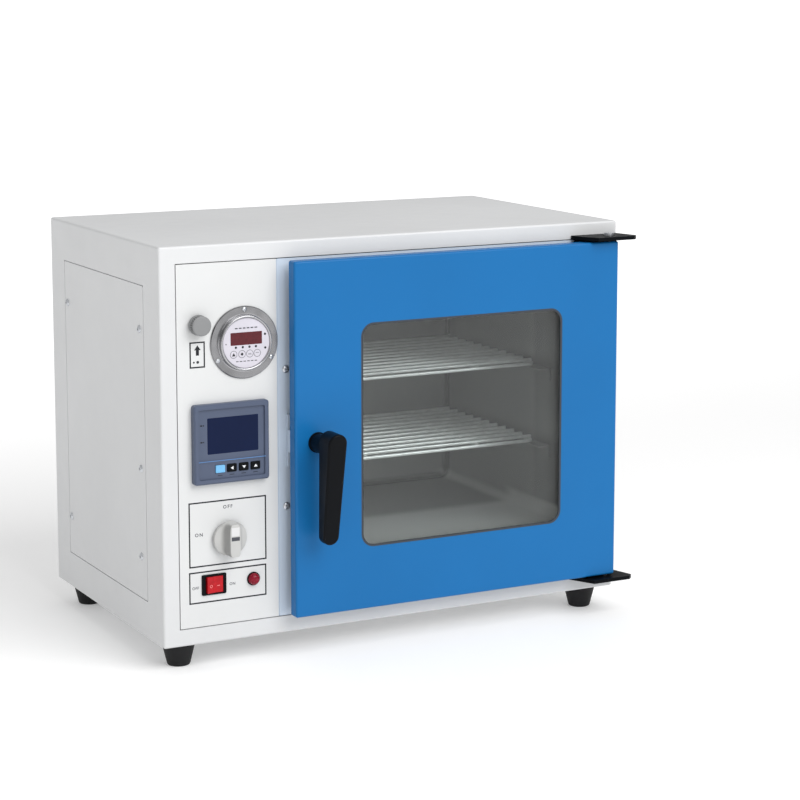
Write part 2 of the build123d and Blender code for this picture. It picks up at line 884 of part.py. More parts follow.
with BuildPart() as chamber_liner:
    with BuildSketch(ahead(-mouth_back)):
        chamber_area(chamber_wall)
    extrude(amount=back_plane + mouth_back)
    for rib_v in rib_places:
        with BuildSketch(ahead(rib_width / 2 - rib_v)):
            chamber_area(chamber_wall + rib_height)
        extrude(amount=-rib_width)
    with BuildSketch(ahead(-mouth_back)):
        chamber_area(0)
    extrude(amount=mouth_back - chamber_depth, mode=Mode.SUBTRACT)
    with BuildSketch(SIDE.offset(chamber_left)):
        with Locations(*wall_ports):
            Circle(pipe_size / 2 + 0.1)
    extrude(amount=-chamber_wall, mode=Mode.SUBTRACT)
    with BuildSketch(ahead(-chamber_depth)):
        with Locations((probe_u, probe_w)):
            Circle(probe_size / 2 + 0.1)
    extrude(amount=-chamber_wall, mode=Mode.SUBTRACT)
save(chamber_liner.part, "chamber_liner")

key_out = gasket_width - gasket_lip - 2
with BuildPart() as chamber_mouth:
    with BuildSketch(ahead(mouth_reach)):
        chamber_area(mouth_width)
        chamber_area(0, mode=Mode.SUBTRACT)
    extrude(amount=-mouth_depth)
    with BuildSketch(ahead(mouth_reach)):
        chamber_area(key_out + 0.1)
        chamber_area(key_out - gasket_key - 0.1, mode=Mode.SUBTRACT)
    extrude(amount=-gasket_key - 0.5, mode=Mode.SUBTRACT)
save(chamber_mouth.part, "chamber_mouth")

with BuildPart() as door_gasket:
    with BuildSketch(ahead(mouth_reach)):
        chamber_area(gasket_width - gasket_lip)
        chamber_area(-gasket_lip, mode=Mode.SUBTRACT)
    extrude(amount=gasket_front - mouth_reach)
    with BuildSketch(ahead(mouth_reach)):
        chamber_area(key_out)
        chamber_area(key_out - gasket_key, mode=Mode.SUBTRACT)
    extrude(amount=-gasket_key)
save(door_gasket.part, "door_gasket")

with BuildPart() as insulation_blanket:
    blanket_front = return_depth + 2 * sheet
    with BuildSketch(ahead(-blanket_front)):
        chamber_area(chamber_wall + rib_height + blanket)
    extrude(amount=back_plane - blanket + blanket_front)
    with BuildSketch(ahead(-blanket_front)):
        chamber_area(chamber_wall + rib_height)
    extrude(amount=back_plane + blanket_front, mode=Mode.SUBTRACT)
    with BuildSketch(SIDE.offset(chamber_left)):
        with Locations(*wall_ports):
            Circle(pipe_size / 2 + 1)
    extrude(amount=-2 * blanket, mode=Mode.SUBTRACT)
    with BuildSketch(BASE.offset(chamber_low)):
        with Locations(*leg_points):
            Circle(8)
    extrude(amount=-2 * blanket, mode=Mode.SUBTRACT)
    with BuildSketch(ahead(back_plane)):
        with Locations((probe_u, probe_w)):
            Circle(6)
    extrude(amount=-blanket, mode=Mode.SUBTRACT)
save(insulation_blanket.part, "insulation_blanket")

with BuildPart() as chamber_legs:
    leg_base = 2 * sheet
    with BuildSketch(BASE.offset(leg_base)):
        with Locations(*leg_points):
            Circle(14)
    extrude(amount=3)
    with BuildSketch(BASE.offset(leg_base)):
        with Locations(*leg_points):
            Circle(7)
    extrude(amount=chamber_low - chamber_wall - rib_height - leg_base)
save(chamber_legs.part, "chamber_legs")

pad_thickness = 3
with BuildPart() as heating_pads:
    for bay_start, bay_end in zip(rib_places, rib_places[1:]):
        pad_front = bay_start + rib_width / 2 + 6
        pad_back = bay_end - rib_width / 2 - 6
        for wall_u in (chamber_left - chamber_wall, chamber_right + chamber_wall + pad_thickness):
            with BuildSketch(SIDE.offset(wall_u)):
                area(pad_front, pad_back, chamber_low + 50, chamber_high - 50, 4)
            extrude(amount=-pad_thickness)
        with BuildSketch(BASE.offset(chamber_low - chamber_wall)):
            area(chamber_left + 60, chamber_right - 60, pad_front, pad_back, 4)
        extrude(amount=-pad_thickness)
save(heating_pads.part, "heating_pads")

with BuildPart() as temperature_probe:
    with BuildSketch(ahead(probe_reach - chamber_depth)):
        with Locations((probe_u, probe_w)):
            Circle(probe_size / 2)
    extrude(amount=-probe_reach - chamber_wall - 10)
    fillet(crowns(temperature_probe, FRONT, 1).edges(), probe_size / 2 - 0.2)
    with BuildSketch(ahead(back_plane)):
        with Locations((probe_u, probe_w)):
            RegularPolygon(5.5, 6)
    extrude(amount=-7)
save(temperature_probe.part, "temperature_probe")

# ---------------------------------------------------------------- shelves
rail_tops = [level - shelf_wire / 2 - shelf_gap for level in shelf_levels.values()]
with BuildPart() as shelf_rails:
    for top in rail_tops:
        for wall_u, away in ((chamber_left, 1), (chamber_right, -1)):
            with BuildSketch(ahead(-rail_front)):
                edges_u = sorted((wall_u, wall_u + away * rail_reach))
                area(*edges_u, top - rail_thickness, top)
                edges_u = sorted((wall_u, wall_u + away * rail_thickness))
                area(*edges_u, top - rail_height, top)
            extrude(amount=rail_front + 3 - chamber_depth)
save(shelf_rails.part, "shelf_rails")


def wire_shelf(level):
    """A welded wire shelf: a round-cornered frame, two long stays, and bars across on top."""
    wire = shelf_wire / 2
    low_u, high_u = chamber_left + shelf_side_gap + wire, chamber_right - shelf_side_gap - wire
    low_v, high_v = shelf_front + wire, shelf_front + shelf_depth - wire
    corner = 4 * wire
    bar_pitch = (high_v - low_v) / shelf_bars
    with BuildPart() as shelf:
        with BuildLine(BASE.offset(level)) as frame_path:
            FilletPolyline(
                (low_u, low_v),
                (high_u, low_v),
                (high_u, high_v),
                (low_u, high_v),
                radius=corner,
                close=True,
            )
        with BuildSketch(Plane(frame_path.wire() @ 0, z_dir=frame_path.wire() % 0)):
            Circle(wire)
        sweep(path=frame_path.wire())
        with BuildSketch(ahead(-low_v)):
            stay = (high_u - low_u) / 4
            with Locations((low_u + stay, level), (high_u - stay, level)):
                Circle(wire)
        extrude(amount=low_v - high_v)
        with BuildSketch(SIDE.offset(low_u - wire)):
            with Locations(
                *[
                    (low_v + bar_pitch * (number + 0.5), level + 1.5 * wire)
                    for number in range(shelf_bars)
                ]
            ):
                Circle(wire)
        extrude(amount=high_u - low_u + 2 * wire)
    return shelf.part


for place, level in shelf_levels.items():
    save(wire_shelf(level), f"wire_shelf_{place}")

# ---------------------------------------------------------------- door
with BuildPart() as door_panel:
    with BuildSketch(ahead(door_face)):
        area(door_left, door_right, door_low, door_high)
    extrude(amount=-door_thickness)
    corners = door_panel.edges().filter_by(Axis.Y)
    fillet(corners + door_panel.faces().sort_by(Axis.Y).first.edges(), door_edge)
    with BuildSketch(ahead(outer_glass_front)):
        area(
            door_left + door_sheet,
            door_right - door_sheet,
            door_low + door_sheet,
            door_high - door_sheet,
            door_edge - door_sheet,
        )
    extrude(amount=-door_thickness, mode=Mode.SUBTRACT)
    with BuildSketch(ahead(door_face)):
        area(window_left, window_right, window_low, window_high, window_corner)
        with Locations((handle_u, handle_w)):
            Circle(bush_size / 2 + 0.1)
    extrude(amount=-door_sheet, mode=Mode.SUBTRACT)
    with BuildSketch(BASE.offset(door_low)):
        with Locations((hinge_u, -hinge_v)):
            Circle(pin_size / 2 + 1)
    extrude(amount=door_high - door_low, mode=Mode.SUBTRACT)
save(door_panel.part, "door_panel")

frame_gap = door_sheet + assembly_gap
pane_edge = gasket_width - gasket_lip + glass_margin
block_left = door_right - frame_gap - hinge_block
pane_lap = 10
with BuildPart() as door_frame:
    with BuildSketch(ahead(outer_glass_front)):
        area(
            door_left + frame_gap,
            door_right - frame_gap,
            door_low + frame_gap,
            door_high - frame_gap,
            1,
        )
        with Locations((handle_u, handle_w)):
            Circle(bush_size / 2 + 0.1, mode=Mode.SUBTRACT)
        area(window_left, window_right, window_low, window_high, window_corner, mode=Mode.SUBTRACT)
        notch = block_left - assembly_gap
        notch_height = frame_gap + hinge_block_height + assembly_gap
        area(notch, door_right, door_low, door_low + notch_height, mode=Mode.SUBTRACT)
        area(notch, door_right, door_high - notch_height, door_high, mode=Mode.SUBTRACT)
    extrude(amount=door_back - outer_glass_front)
    with BuildSketch(ahead(outer_glass_front)):
        lap = pane_lap + assembly_gap
        area(window_left - lap, window_right + lap, window_low - lap, window_high + lap)
    extrude(amount=-outer_glass, mode=Mode.SUBTRACT)
    with BuildSketch(ahead(inner_glass_front)):
        growth = pane_edge + assembly_gap
        area(
            chamber_left - growth,
            chamber_right + growth,
            chamber_low - growth,
            chamber_high + growth,
        )
    extrude(amount=-inner_glass, mode=Mode.SUBTRACT)
save(door_frame.part, "door_frame")

with BuildPart() as outer_window_pane:
    with BuildSketch(ahead(outer_glass_front)):
        area(
            window_left - pane_lap,
            window_right + pane_lap,
            window_low - pane_lap,
            window_high + pane_lap,
        )
    extrude(amount=-outer_glass)
save(outer_window_pane.part, "outer_window_pane")

with BuildPart() as inner_window_pane:
    with BuildSketch(ahead(inner_glass_front)):
        area(
            chamber_left - pane_edge,
            chamber_right + pane_edge,
            chamber_low - pane_edge,
            chamber_high + pane_edge,
        )
    extrude(amount=-inner_glass)
    chamfer(inner_window_pane.edges().filter_by(Axis.Y), 2)
save(inner_window_pane.part, "inner_window_pane")

with BuildPart() as window_seal:
    with BuildSketch(ahead(outer_glass_front)):
        area(window_left, window_right, window_low, window_high, window_corner)
        area(
            window_left + window_trim,
            window_right - window_trim,
            window_low + window_trim,
            window_high - window_trim,
            window_corner - window_trim,
            mode=Mode.SUBTRACT,
        )
    extrude(amount=door_sheet)
save(window_seal.part, "window_seal")

block_levels = (door_low + frame_gap, door_high - frame_gap - hinge_block_height)
with BuildPart() as hinge_blocks:
    for level in block_levels:
        with BuildSketch(BASE.offset(level)):
            area(block_left, door_right - frame_gap, -outer_glass_front, -door_back)
            with Locations((hinge_u, -hinge_v)):
                Circle(pin_size / 2 + pin_running, mode=Mode.SUBTRACT)
        extrude(amount=hinge_block_height)
save(hinge_blocks.part, "hinge_blocks")

# ---------------------------------------------------------------- hinge brackets and pins


top_leaf = door_high + hinge_clearance
bottom_leaf = door_low - hinge_clearance - hinge_plate
with BuildPart() as hinge_brackets:
    # each is a leaf that carries the pin, folded into a flange on the cabinet's front
    for leaf_low, flange_low in ((top_leaf, top_leaf - hinge_flange), (bottom_leaf, bottom_leaf)):
        with BuildSketch(BASE.offset(leaf_low)):
            with BuildLine():
                Polyline(
                    (hinge_left, 0),
                    (hinge_left, -5),
                    (hinge_left + 15, -hinge_reach),
                    (case_width + hinge_overhang - 5, -hinge_reach),
                    (case_width + hinge_overhang, -hinge_reach + 5),
                    (case_width - 1, 0),
                    close=True,
                )
            make_face()
            with Locations((hinge_u, -hinge_v)):
                Circle(pin_size / 2 + 0.1, mode=Mode.SUBTRACT)
        extrude(amount=hinge_plate)
        with BuildSketch(FRONT):
            area(hinge_left + 4, case_width - 2, flange_low, flange_low + hinge_flange + hinge_plate)
            with Locations(*hinge_screw_places):
                Circle(clear_hole / 2, mode=Mode.SUBTRACT)
        extrude(amount=bracket_sheet)
save(hinge_brackets.part, "hinge_brackets")
bracket_screw_places = hinge_screw_places + strike_screw_places
save(
    dome_screws(ahead(bracket_sheet), bracket_screw_places, bracket_sheet + sheet + 4),
    "bracket_screws",
)

with BuildPart() as hinge_pins:
    for face, up in ((top_leaf + hinge_plate, 1), (bottom_leaf, -1)):
        with BuildSketch(BASE.offset(face)):
            with Locations((hinge_u, -hinge_v)):
                Circle(pin_size * 0.9)
        extrude(amount=up * 3)
        with BuildSketch(BASE.offset(face)):
            with Locations((hinge_u, -hinge_v)):
                Circle(pin_size / 2)
        extrude(amount=-up * pin_length)
save(hinge_pins.part, "hinge_pins")

# ---------------------------------------------------------------- handle and latch
handle = turning(handle_u, handle_w)
bush_front = door_face + bush_flange_height
with BuildPart() as handle_bush:
    with BuildSketch(handle):
        bore = spindle_size / 2 + spindle_running
        with BuildLine():
            Polyline(
                (bore, door_back),
                (bush_size / 2, door_back),
                (bush_size / 2, door_face),
                (bush_flange / 2, door_face),
                (bush_flange / 2, bush_front - 0.5),
                (bush_flange / 2 - 0.5, bush_front),
                (bore, bush_front),
                close=True,
            )
        make_face()
    revolve(axis=spin(handle))
save(handle_bush.part, "handle_bush")

grip_top = handle_w + handle_above
grip_bottom = handle_w - handle_below
spindle_end = handle_top_back + 8
with BuildPart() as door_handle:
    # front view of the grip: two round ends of different width, joined by straight sides
    with BuildSketch(ahead(handle_reach)):
        with Locations((handle_u, grip_top - handle_top_width / 2)):
            Circle(handle_top_width / 2)
        with Locations((handle_u, grip_bottom + handle_low_width / 2)):
            Circle(handle_low_width / 2)
        make_hull()
    extrude(amount=-handle_reach)
    # side view: the front slopes in towards the bottom, the back less so
    with BuildSketch(SIDE.offset(handle_u - handle_top_width)):
        with BuildLine():
            Polyline(
                (-handle_reach, grip_top),
                (-handle_low_reach, grip_bottom),
                (-handle_low_back, grip_bottom),
                (-handle_top_back, grip_top),
                close=True,
            )
        make_face()
    extrude(amount=2 * handle_top_width, mode=Mode.INTERSECT)
    front_face = crowns(door_handle, FRONT, 1)
    fillet(front_face.edges(), handle_edge)
    with BuildSketch(ahead(bush_front + assembly_gap)):
        with Locations((handle_u, handle_w)):
            Circle(handle_hub / 2)
    extrude(amount=handle_top_back - bush_front)
    with BuildSketch(ahead(bush_front)):
        with Locations((handle_u, handle_w)):
            Circle(spindle_size / 2 + 0.02)
    extrude(amount=spindle_end - bush_front, mode=Mode.SUBTRACT)
save(door_handle.part, "door_handle")

nut_thickness = 3
with BuildPart() as handle_spindle:
    with BuildSketch(ahead(spindle_end)):
        with Locations((handle_u, handle_w)):
            Circle(spindle_size / 2)
    extrude(amount=cam_back - spindle_end)
    with BuildSketch(ahead(cam_back)):
        with Locations((handle_u, handle_w)):
            Circle(spindle_size / 2 - 1.5)
    extrude(amount=-nut_thickness - 0.3)
save(handle_spindle.part, "handle_spindle")

with BuildPart() as latch_cam:
    with BuildSketch(ahead(cam_front)):
        with Locations((handle_u, handle_w)):
            Circle(spindle_size / 2 + 3)
        with Locations((handle_u, handle_w + cam_length / 2)):
            Rectangle(cam_width, cam_length)
        with Locations((handle_u, handle_w)):
            Circle(spindle_size / 2 + 0.02, mode=Mode.SUBTRACT)
    extrude(amount=-cam_thickness)
save(latch_cam.part, "latch_cam")

with BuildPart() as spindle_nut:
    with BuildSketch(ahead(cam_back)):
        with Locations((handle_u, handle_w)):
            RegularPolygon(6.8, 6)
            Circle(spindle_size / 2 - 1.5 + 0.02, mode=Mode.SUBTRACT)
    extrude(amount=-nut_thickness)
save(spindle_nut.part, "spindle_nut")

strike_front = cam_front + cam_behind_strike + strike_lip
strike_half = 12
with BuildPart() as latch_strike:
    with BuildSketch(FRONT):
        area(strike_left, strike_right, handle_w - cam_length - 7, handle_w + cam_length + 7)
        with Locations(*strike_screw_places):
            Circle(clear_hole / 2, mode=Mode.SUBTRACT)
    extrude(amount=bracket_sheet)
    with BuildSketch(FRONT):
        area(strike_left, strike_left + 2, handle_w - strike_half, handle_w + strike_half)
    extrude(amount=strike_front)
    with BuildSketch(ahead(strike_front)):
        area(strike_left, strike_right, handle_w - strike_half, handle_w + strike_half)
    extrude(amount=-strike_lip)
save(latch_strike.part, "latch_strike")

# ---------------------------------------------------------------- rear panel and fittings
with BuildPart() as rear_panel:
    with BuildSketch(ahead(sheet - case_depth)):
        area(pan_edge, case_width - pan_edge, pan_edge, case_height - pan_edge)
        with Locations(*rear_screw_places):
            Circle(clear_hole / 2, mode=Mode.SUBTRACT)
        with Locations((port_u, port_w)):
            Circle(port_size / 2 + 2 + assembly_gap, mode=Mode.SUBTRACT)
        with Locations((inlet_u, inlet_w)):
            Rectangle(inlet_width + 0.6, inlet_height + 0.6, mode=Mode.SUBTRACT)
    extrude(amount=-sheet)
    hood = louvre_height * 0.9
    for column in (louvre_margin, case_width / 2, case_width - louvre_margin):
        with BuildSketch(ahead(-case_depth)):
            with Locations((column, louvre_low + louvre_pitch * (louvre_rows - 1) / 2)):
                with GridLocations(1, louvre_pitch, 1, louvre_rows):
                    Rectangle(louvre_length, louvre_height)
        extrude(amount=sheet, mode=Mode.SUBTRACT)
        with BuildSketch(SIDE.offset(column - louvre_length / 2)):
            for row in range(louvre_rows):
                slot_top = louvre_low + louvre_pitch * row + louvre_height / 2
                with BuildLine():
                    Polyline(
                        (case_depth - sheet, slot_top),
                        (case_depth - sheet, slot_top + sheet),
                        (case_depth, slot_top + sheet),
                        (case_depth + hood, slot_top - hood),
                        (case_depth + hood - sheet, slot_top - hood),
                        close=True,
                    )
                make_face()
        extrude(amount=louvre_length)
save(rear_panel.part, "rear_panel")

OUTSIDE_REAR = Plane(origin=ahead(-case_depth).origin, x_dir=(-1, 0, 0), z_dir=(0, 1, 0))
save(
    dome_screws(OUTSIDE_REAR, [(-u, w) for u, w in rear_screw_places], 2 * sheet + 4),
    "rear_panel_screws",
)

port_inner = 15
port = turning(port_u, port_w, -case_depth)
with BuildPart() as vacuum_port:
    with BuildSketch(port):
        with BuildLine():
            Polyline(
                (port_bore / 2, port_inner),
                (port_size / 2 + 2, port_inner),
                (port_size / 2 + 2, 0),
                (port_flange / 2, 0),
                (port_flange / 2, -3),
                (port_size / 2, -3),
                (port_size / 2, 1 - port_reach),
                (port_size / 2 - 1, -port_reach),
                (port_bore / 2, -port_reach),
                close=True,
            )
        make_face()
    revolve(axis=spin(port))
save(vacuum_port.part, "vacuum_port")

pin_places = [(-7, -2), (7, -2), (0, 2)]
with BuildPart() as power_inlet:
    with BuildSketch(ahead(-case_depth)):
        with Locations((inlet_u, inlet_w)):
            RectangleRounded(inlet_flange_width, inlet_flange_height, 3)
    extrude(amount=-inlet_proud)
    with BuildSketch(ahead(-case_depth)):
        with Locations((inlet_u, inlet_w)):
            Rectangle(inlet_width, inlet_height)
    extrude(amount=inlet_recess + 3)
    with BuildSketch(ahead(-case_depth - inlet_proud)):
        with Locations((inlet_u, inlet_w)):
            RectangleRounded(inlet_width - 3, inlet_height - 4, 2)
    extrude(amount=inlet_recess, mode=Mode.SUBTRACT)
    with BuildSketch(ahead(inlet_recess - case_depth - inlet_proud)):
        with Locations(*[(inlet_u + x, inlet_w + y) for x, y in pin_places]):
            Rectangle(2, 4)
    extrude(amount=-inlet_recess + 5)
save(power_inlet.part, "power_inlet")

relay_u, relay_v = 75, 210
relay_width, relay_length = 60, 80
with BuildPart() as solid_state_relay:
    with BuildSketch(ahead(relay_length / 2 - relay_v)):
        with Locations((relay_u, 2 * sheet + 26)):
            Rectangle(relay_width, 6)
        with Locations((relay_u, 2 * sheet + 13)):
            with GridLocations(relay_width / 6.2, 1, 7, 1):
                Rectangle(1.6, 26)
    extrude(amount=-relay_length)
    with BuildSketch(BASE.offset(2 * sheet + 29)):
        with Locations((relay_u, relay_v)):
            RectangleRounded(45, 58, 2)
    extrude(amount=22)
save(solid_state_relay.part, "solid_state_relay")

# ---------------------------------------------------------------- vacuum pipes


def pipe(*points):
    """A pipe along straight runs joined by arcs, from points given as (u, v, w)."""
    corners = [BASE.from_local_coords(Vector(*point)) for point in points]
    with BuildPart() as tube:
        with BuildLine() as route:
            if len(corners) == 2:
                Line(*corners)
            else:
                FilletPolyline(*corners, radius=pipe_bend)
        with BuildSketch(Plane(corners[0], z_dir=corners[1] - corners[0])):
            Circle(pipe_size / 2)
            Circle(pipe_size / 2 - 1, mode=Mode.SUBTRACT)
        sweep(path=route.wire())
    return tube.part


valve_back = sheet + valve_body_depth
with BuildPart() as vacuum_pipes:
    add(pipe((valve_u, valve_back, valve_w), (port_u, case_depth - port_inner, port_w)))
    add(
        pipe(
            (valve_u + valve_body / 2, valve_back / 2, valve_w),
            (mullion_left + 4, valve_back / 2, valve_w),
            (mullion_left + 4, suction_v, suction_w),
            (chamber_left, suction_v, suction_w),
        )
    )
    add(
        pipe(
            (release_u, release_body_depth, release_w),
            (release_u, release_pipe_v, release_w),
            (chamber_left, release_pipe_v, release_w),
        )
    )
    add(
        pipe(
            (gauge_u, gauge_barrel_depth + 8, gauge_w),
            (gauge_u, gauge_pipe_v, gauge_w),
            (chamber_left, gauge_pipe_v, gauge_w),
        )
    )
save(vacuum_pipes.part, "vacuum_pipes")
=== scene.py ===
"""Finishes and visible detail of a bench vacuum oven.

Works in the model's own frame, in metres: X to the right, Y away from the user, Z up. Places on
the oven are given as the cabinet's own u, v and w in millimetres, which run to the right, away
from the user and up from the cabinet's lower left front corner.
"""

import math

import bmesh
import bpy
from bpy.props import FloatProperty, IntProperty
from mathutils import Euler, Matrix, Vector
from mathutils.bvhtree import BVHTree


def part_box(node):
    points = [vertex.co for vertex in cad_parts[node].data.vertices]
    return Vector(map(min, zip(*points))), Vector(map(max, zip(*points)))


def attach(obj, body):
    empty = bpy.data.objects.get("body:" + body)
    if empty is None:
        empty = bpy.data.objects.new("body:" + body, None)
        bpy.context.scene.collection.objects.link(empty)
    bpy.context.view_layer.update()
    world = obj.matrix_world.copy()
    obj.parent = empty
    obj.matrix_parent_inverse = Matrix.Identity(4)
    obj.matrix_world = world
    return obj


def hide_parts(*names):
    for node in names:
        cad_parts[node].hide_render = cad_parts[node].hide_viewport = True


bl_info = {
    "name": "Vacuum Oven",
    "version": (1, 0, 0),
    "blender": (4, 5, 0),
    "location": "View3D > Sidebar > Oven",
    "description": "Builds the finishes and the visible detail of a bench vacuum oven",
    "category": "Add Mesh",
}

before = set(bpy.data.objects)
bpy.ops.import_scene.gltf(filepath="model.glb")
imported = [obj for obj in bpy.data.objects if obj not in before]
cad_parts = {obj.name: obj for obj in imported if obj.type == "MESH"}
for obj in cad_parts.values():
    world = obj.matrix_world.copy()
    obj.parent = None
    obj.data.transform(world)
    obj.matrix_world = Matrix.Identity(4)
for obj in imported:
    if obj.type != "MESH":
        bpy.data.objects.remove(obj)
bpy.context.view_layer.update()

MM = 0.001
CORNER = Vector((-277.4, -139.5, 26.0))
FRONTWARDS = Vector((0, -1, 0))
LEFTWARDS = Vector((-1, 0, 0))
REARWARDS = Vector((0, 1, 0))
DOWNWARDS = Vector((0, 0, -1))

# centres of what sits on the front and back, as u and w
GAUGE = (93.7, 316.2)
RELEASE_KNOB = (42, 338)
VALVE_KNOB = (74, 111)
ROCKER = (56.8, 61.6)
LAMP = (101.8, 63.5)
INLET = (115, 50)

# opposite corners of the chamber, as u, v and w
CHAMBER_LOW = (189, 0, 79)
CHAMBER_HIGH = (489, 284, 349)

# how far print stands out from its ground and its back sinks in, in millimetres, and the
# corners of a printed disc
PRINT = 0.06
WORD_PRINT = 0.05
KEY_PRINT = 0.36
PRINT_ROOT = 0.02
DISC_STEPS = 20

# the studio, in metres and radians
FLOOR_REACH = 400
CAMERA_PLACE = (-1.1416, -2.3173, 0.7253)
CAMERA_DIP = 0.1505
CAMERA_TURN = -0.4824
CAMERA_SHIFT = -0.1
LIGHT_PLACE = (0.7, -2.6, 2.5)
LIGHT_SIZE = 2.6
LIGHT_TARGET = (0, 0, 0.2)
WHITE = (1, 1, 1, 1)


def place(u, v, w):
    """A point of the cabinet, in metres in the frame."""
    return (CORNER + Vector((u, v, w))) * MM


def srgb(red, green, blue):
    """A linear colour from 0-255 display values."""
    linear = [
        ((value / 255 + 0.055) / 1.055) ** 2.4 if value > 10 else value / 255 / 12.92
        for value in (red, green, blue)
    ]
    return (*linear, 1)


# ------------------------------------------------------------------------------ node trees


class Nodes:
    """Short notation for a shader or geometry node tree."""

    def __init__(self, tree):
        self.tree = tree

    def put(self, value, socket):
        """Links a socket, or sets a value."""
        if isinstance(value, bpy.types.NodeSocket):
            self.tree.links.new(value, socket)
        else:
            socket.default_value = value

    def add(self, kind, values=None, **settings):
        """A node with its settings, and its inputs set or linked."""
        node = self.tree.nodes.new(kind)
        for name, value in settings.items():
            setattr(node, name, value)
        for name, value in (values or {}).items():
            self.put(value, node.inputs[name])
        return node

    def maths(self, operation, first, second=0.0):
        values = {0: first, 1: second}
        return self.add("ShaderNodeMath", values, operation=operation).outputs[0]

    def noise(self, vector, scale, detail=3.0, rough=0.5):
        values = {"Vector": vector, "Scale": scale, "Detail": detail, "Roughness": rough}
        return self.add("ShaderNodeTexNoise", values).outputs["Fac"]

    def remap(self, value, low, high, start=1.0, end=0.0, kind="LINEAR"):
        """Start at the value's low, running to end at its high."""
        values = {"Value": value, "From Min": low, "From Max": high, "To Min": start, "To Max": end}
        return self.add("ShaderNodeMapRange", values, interpolation_type=kind).outputs["Result"]

    def between(self, value, low, high):
        """The value's 0.3 to 0.7 stretched from low to high."""
        return self.remap(value, 0.3, 0.7, low, high)

    def blend(self, factor, first, second):
        node = self.add("ShaderNodeMix", data_type="RGBA")
        for index, value in ((0, factor), (6, first), (7, second)):
            self.put(value, node.inputs[index])
        return node.outputs[2]

    def tones(self, pattern, colour, first, second):
        """A colour that goes from one of its shades to another with a pattern."""
        return self.blend(self.between(pattern, 0.0, 1.0), shade(colour, first), shade(colour, second))

    def relief(self, height, strength, depth):
        values = {"Height": height, "Strength": strength, "Distance": depth}
        return self.add("ShaderNodeBump", values).outputs["Normal"]

    def feed(self, shader, colour, roughness=None, normal=None):
        """Links what is given into a Principled shader."""
        given = {"Base Color": colour, "Roughness": roughness, "Normal": normal}
        for name, socket in given.items():
            if socket is not None:
                self.tree.links.new(socket, shader.inputs[name])

    def transform(self, geometry, part, value):
        """A geometry with its Translation, Rotation or Scale set."""
        values = {"Geometry": geometry, part: value}
        return self.add("GeometryNodeTransform", values).outputs[0]

    def join(self, *geometries):
        joined = self.add("GeometryNodeJoinGeometry")
        for geometry in geometries:
            self.tree.links.new(geometry, joined.inputs[0])
        return joined.outputs[0]


def material(name, colour, roughness, metallic=0.0, shine=0.5):
    """A new material, its node notation, its Principled shader and its Object coordinates."""
    made = bpy.data.materials.new(name)
    made.use_nodes = True
    nodes = Nodes(made.node_tree)
    shader = made.node_tree.nodes["Principled BSDF"]
    shader.inputs["Base Color"].default_value = colour
    shader.inputs["Roughness"].default_value = roughness
    shader.inputs["Metallic"].default_value = metallic
    shader.inputs["Specular IOR Level"].default_value = shine
    where = nodes.add("ShaderNodeTexCoord").outputs["Object"]
    return made, nodes, shader, where


def shade(colour, factor):
    return tuple(min(1.0, channel * factor) for channel in colour[:3]) + (1,)


def paint(name, colour, roughness, shine=0.5, coat=0.0, peel=0.08, mottle=0.03):
    """Stoved paint: a faint mottle of colour and gloss over a fine orange peel."""
    made, nodes, shader, where = material(name, colour, roughness, shine=shine)
    nodes.feed(
        shader,
        nodes.tones(nodes.noise(where, 6.0, 4.0), colour, 1 - mottle, 1 + mottle),
        nodes.between(nodes.noise(where, 60.0), roughness - 0.04, roughness + 0.04),
        nodes.relief(nodes.noise(where, 700.0, 2.0), peel, 0.0004),
    )
    shader.inputs["Coat Weight"].default_value = coat
    shader.inputs["Coat Roughness"].default_value = 0.12
    return made


def chamber_steel(name, colour, roughness):
    """Matt sheet brushed front to back, darker and lighter by place: painted shade in its back corners
    and at its walls' front edges, and painted light along its floor.
    """
    made, nodes, shader, where = material(name, colour, roughness, metallic=0.62)
    stretch = {"Vector": where, "Scale": (420.0, 9.0, 420.0)}
    streaks = nodes.add("ShaderNodeMapping", stretch).outputs[0]
    base = nodes.tones(nodes.noise(streaks, 1.0, 5.0, 0.65), colour, 0.95, 1.05)
    clouds = nodes.between(nodes.noise(where, 9.0), 0.0, 0.35)
    base = nodes.blend(clouds, base, shade(colour, 0.8))
    parts = nodes.add("ShaderNodeSeparateXYZ", {0: where}).outputs
    low, high = place(*CHAMBER_LOW), place(*CHAMBER_HIGH)
    left, front, floor = [nodes.maths("SUBTRACT", parts[axis], low[axis]) for axis in range(3)]
    right, back, ceiling = [nodes.maths("SUBTRACT", high[axis], parts[axis]) for axis in range(3)]

    def near(distance, start, end):
        return nodes.remap(distance, start, end, kind="SMOOTHSTEP")

    def both(first, second):
        return nodes.maths("MULTIPLY", first, second)

    side = nodes.maths("MINIMUM", left, right)
    wall = nodes.maths("MINIMUM", side, nodes.maths("MINIMUM", floor, ceiling))
    # painted shade in the welded back corners, a painted highlight along the corners with the floor,
    # painted light on the floor's front and painted shade on the side walls' front edges
    painted_corner_shade = both(near(nodes.maths("MAXIMUM", wall, back), 0.001, 0.01), 0.8)
    painted_cove_highlight = both(near(nodes.maths("MAXIMUM", side, floor), 0.003, 0.012), 0.9)
    painted_floor_light = both(near(floor, 0.012, 0.02), near(front, 0.12, 0.15))
    painted_edge_shade = both(near(side, 0.003, 0.006), near(front, 0.07, 0.085))
    for factor, tone in ((painted_edge_shade, 0.72), (painted_cove_highlight, 1.8), (painted_floor_light, 1.9), (painted_corner_shade, 0.2)):
        base = nodes.blend(factor, base, shade(colour, tone))
    nodes.feed(shader, base)
    return made


def cast_metal(name, colour, roughness, dullness=0.08, metallic=1.0):
    """Plated or bare metal with a little handling: soft spots of lower gloss."""
    made, nodes, shader, where = material(name, colour, roughness, metallic)
    spots = nodes.noise(where, 130.0, 4.0)
    nodes.feed(
        shader,
        nodes.tones(spots, colour, 0.9, 1.06),
        nodes.between(spots, roughness, roughness + dullness),
        nodes.relief(nodes.noise(where, 900.0), 0.05, 0.0001),
    )
    return made


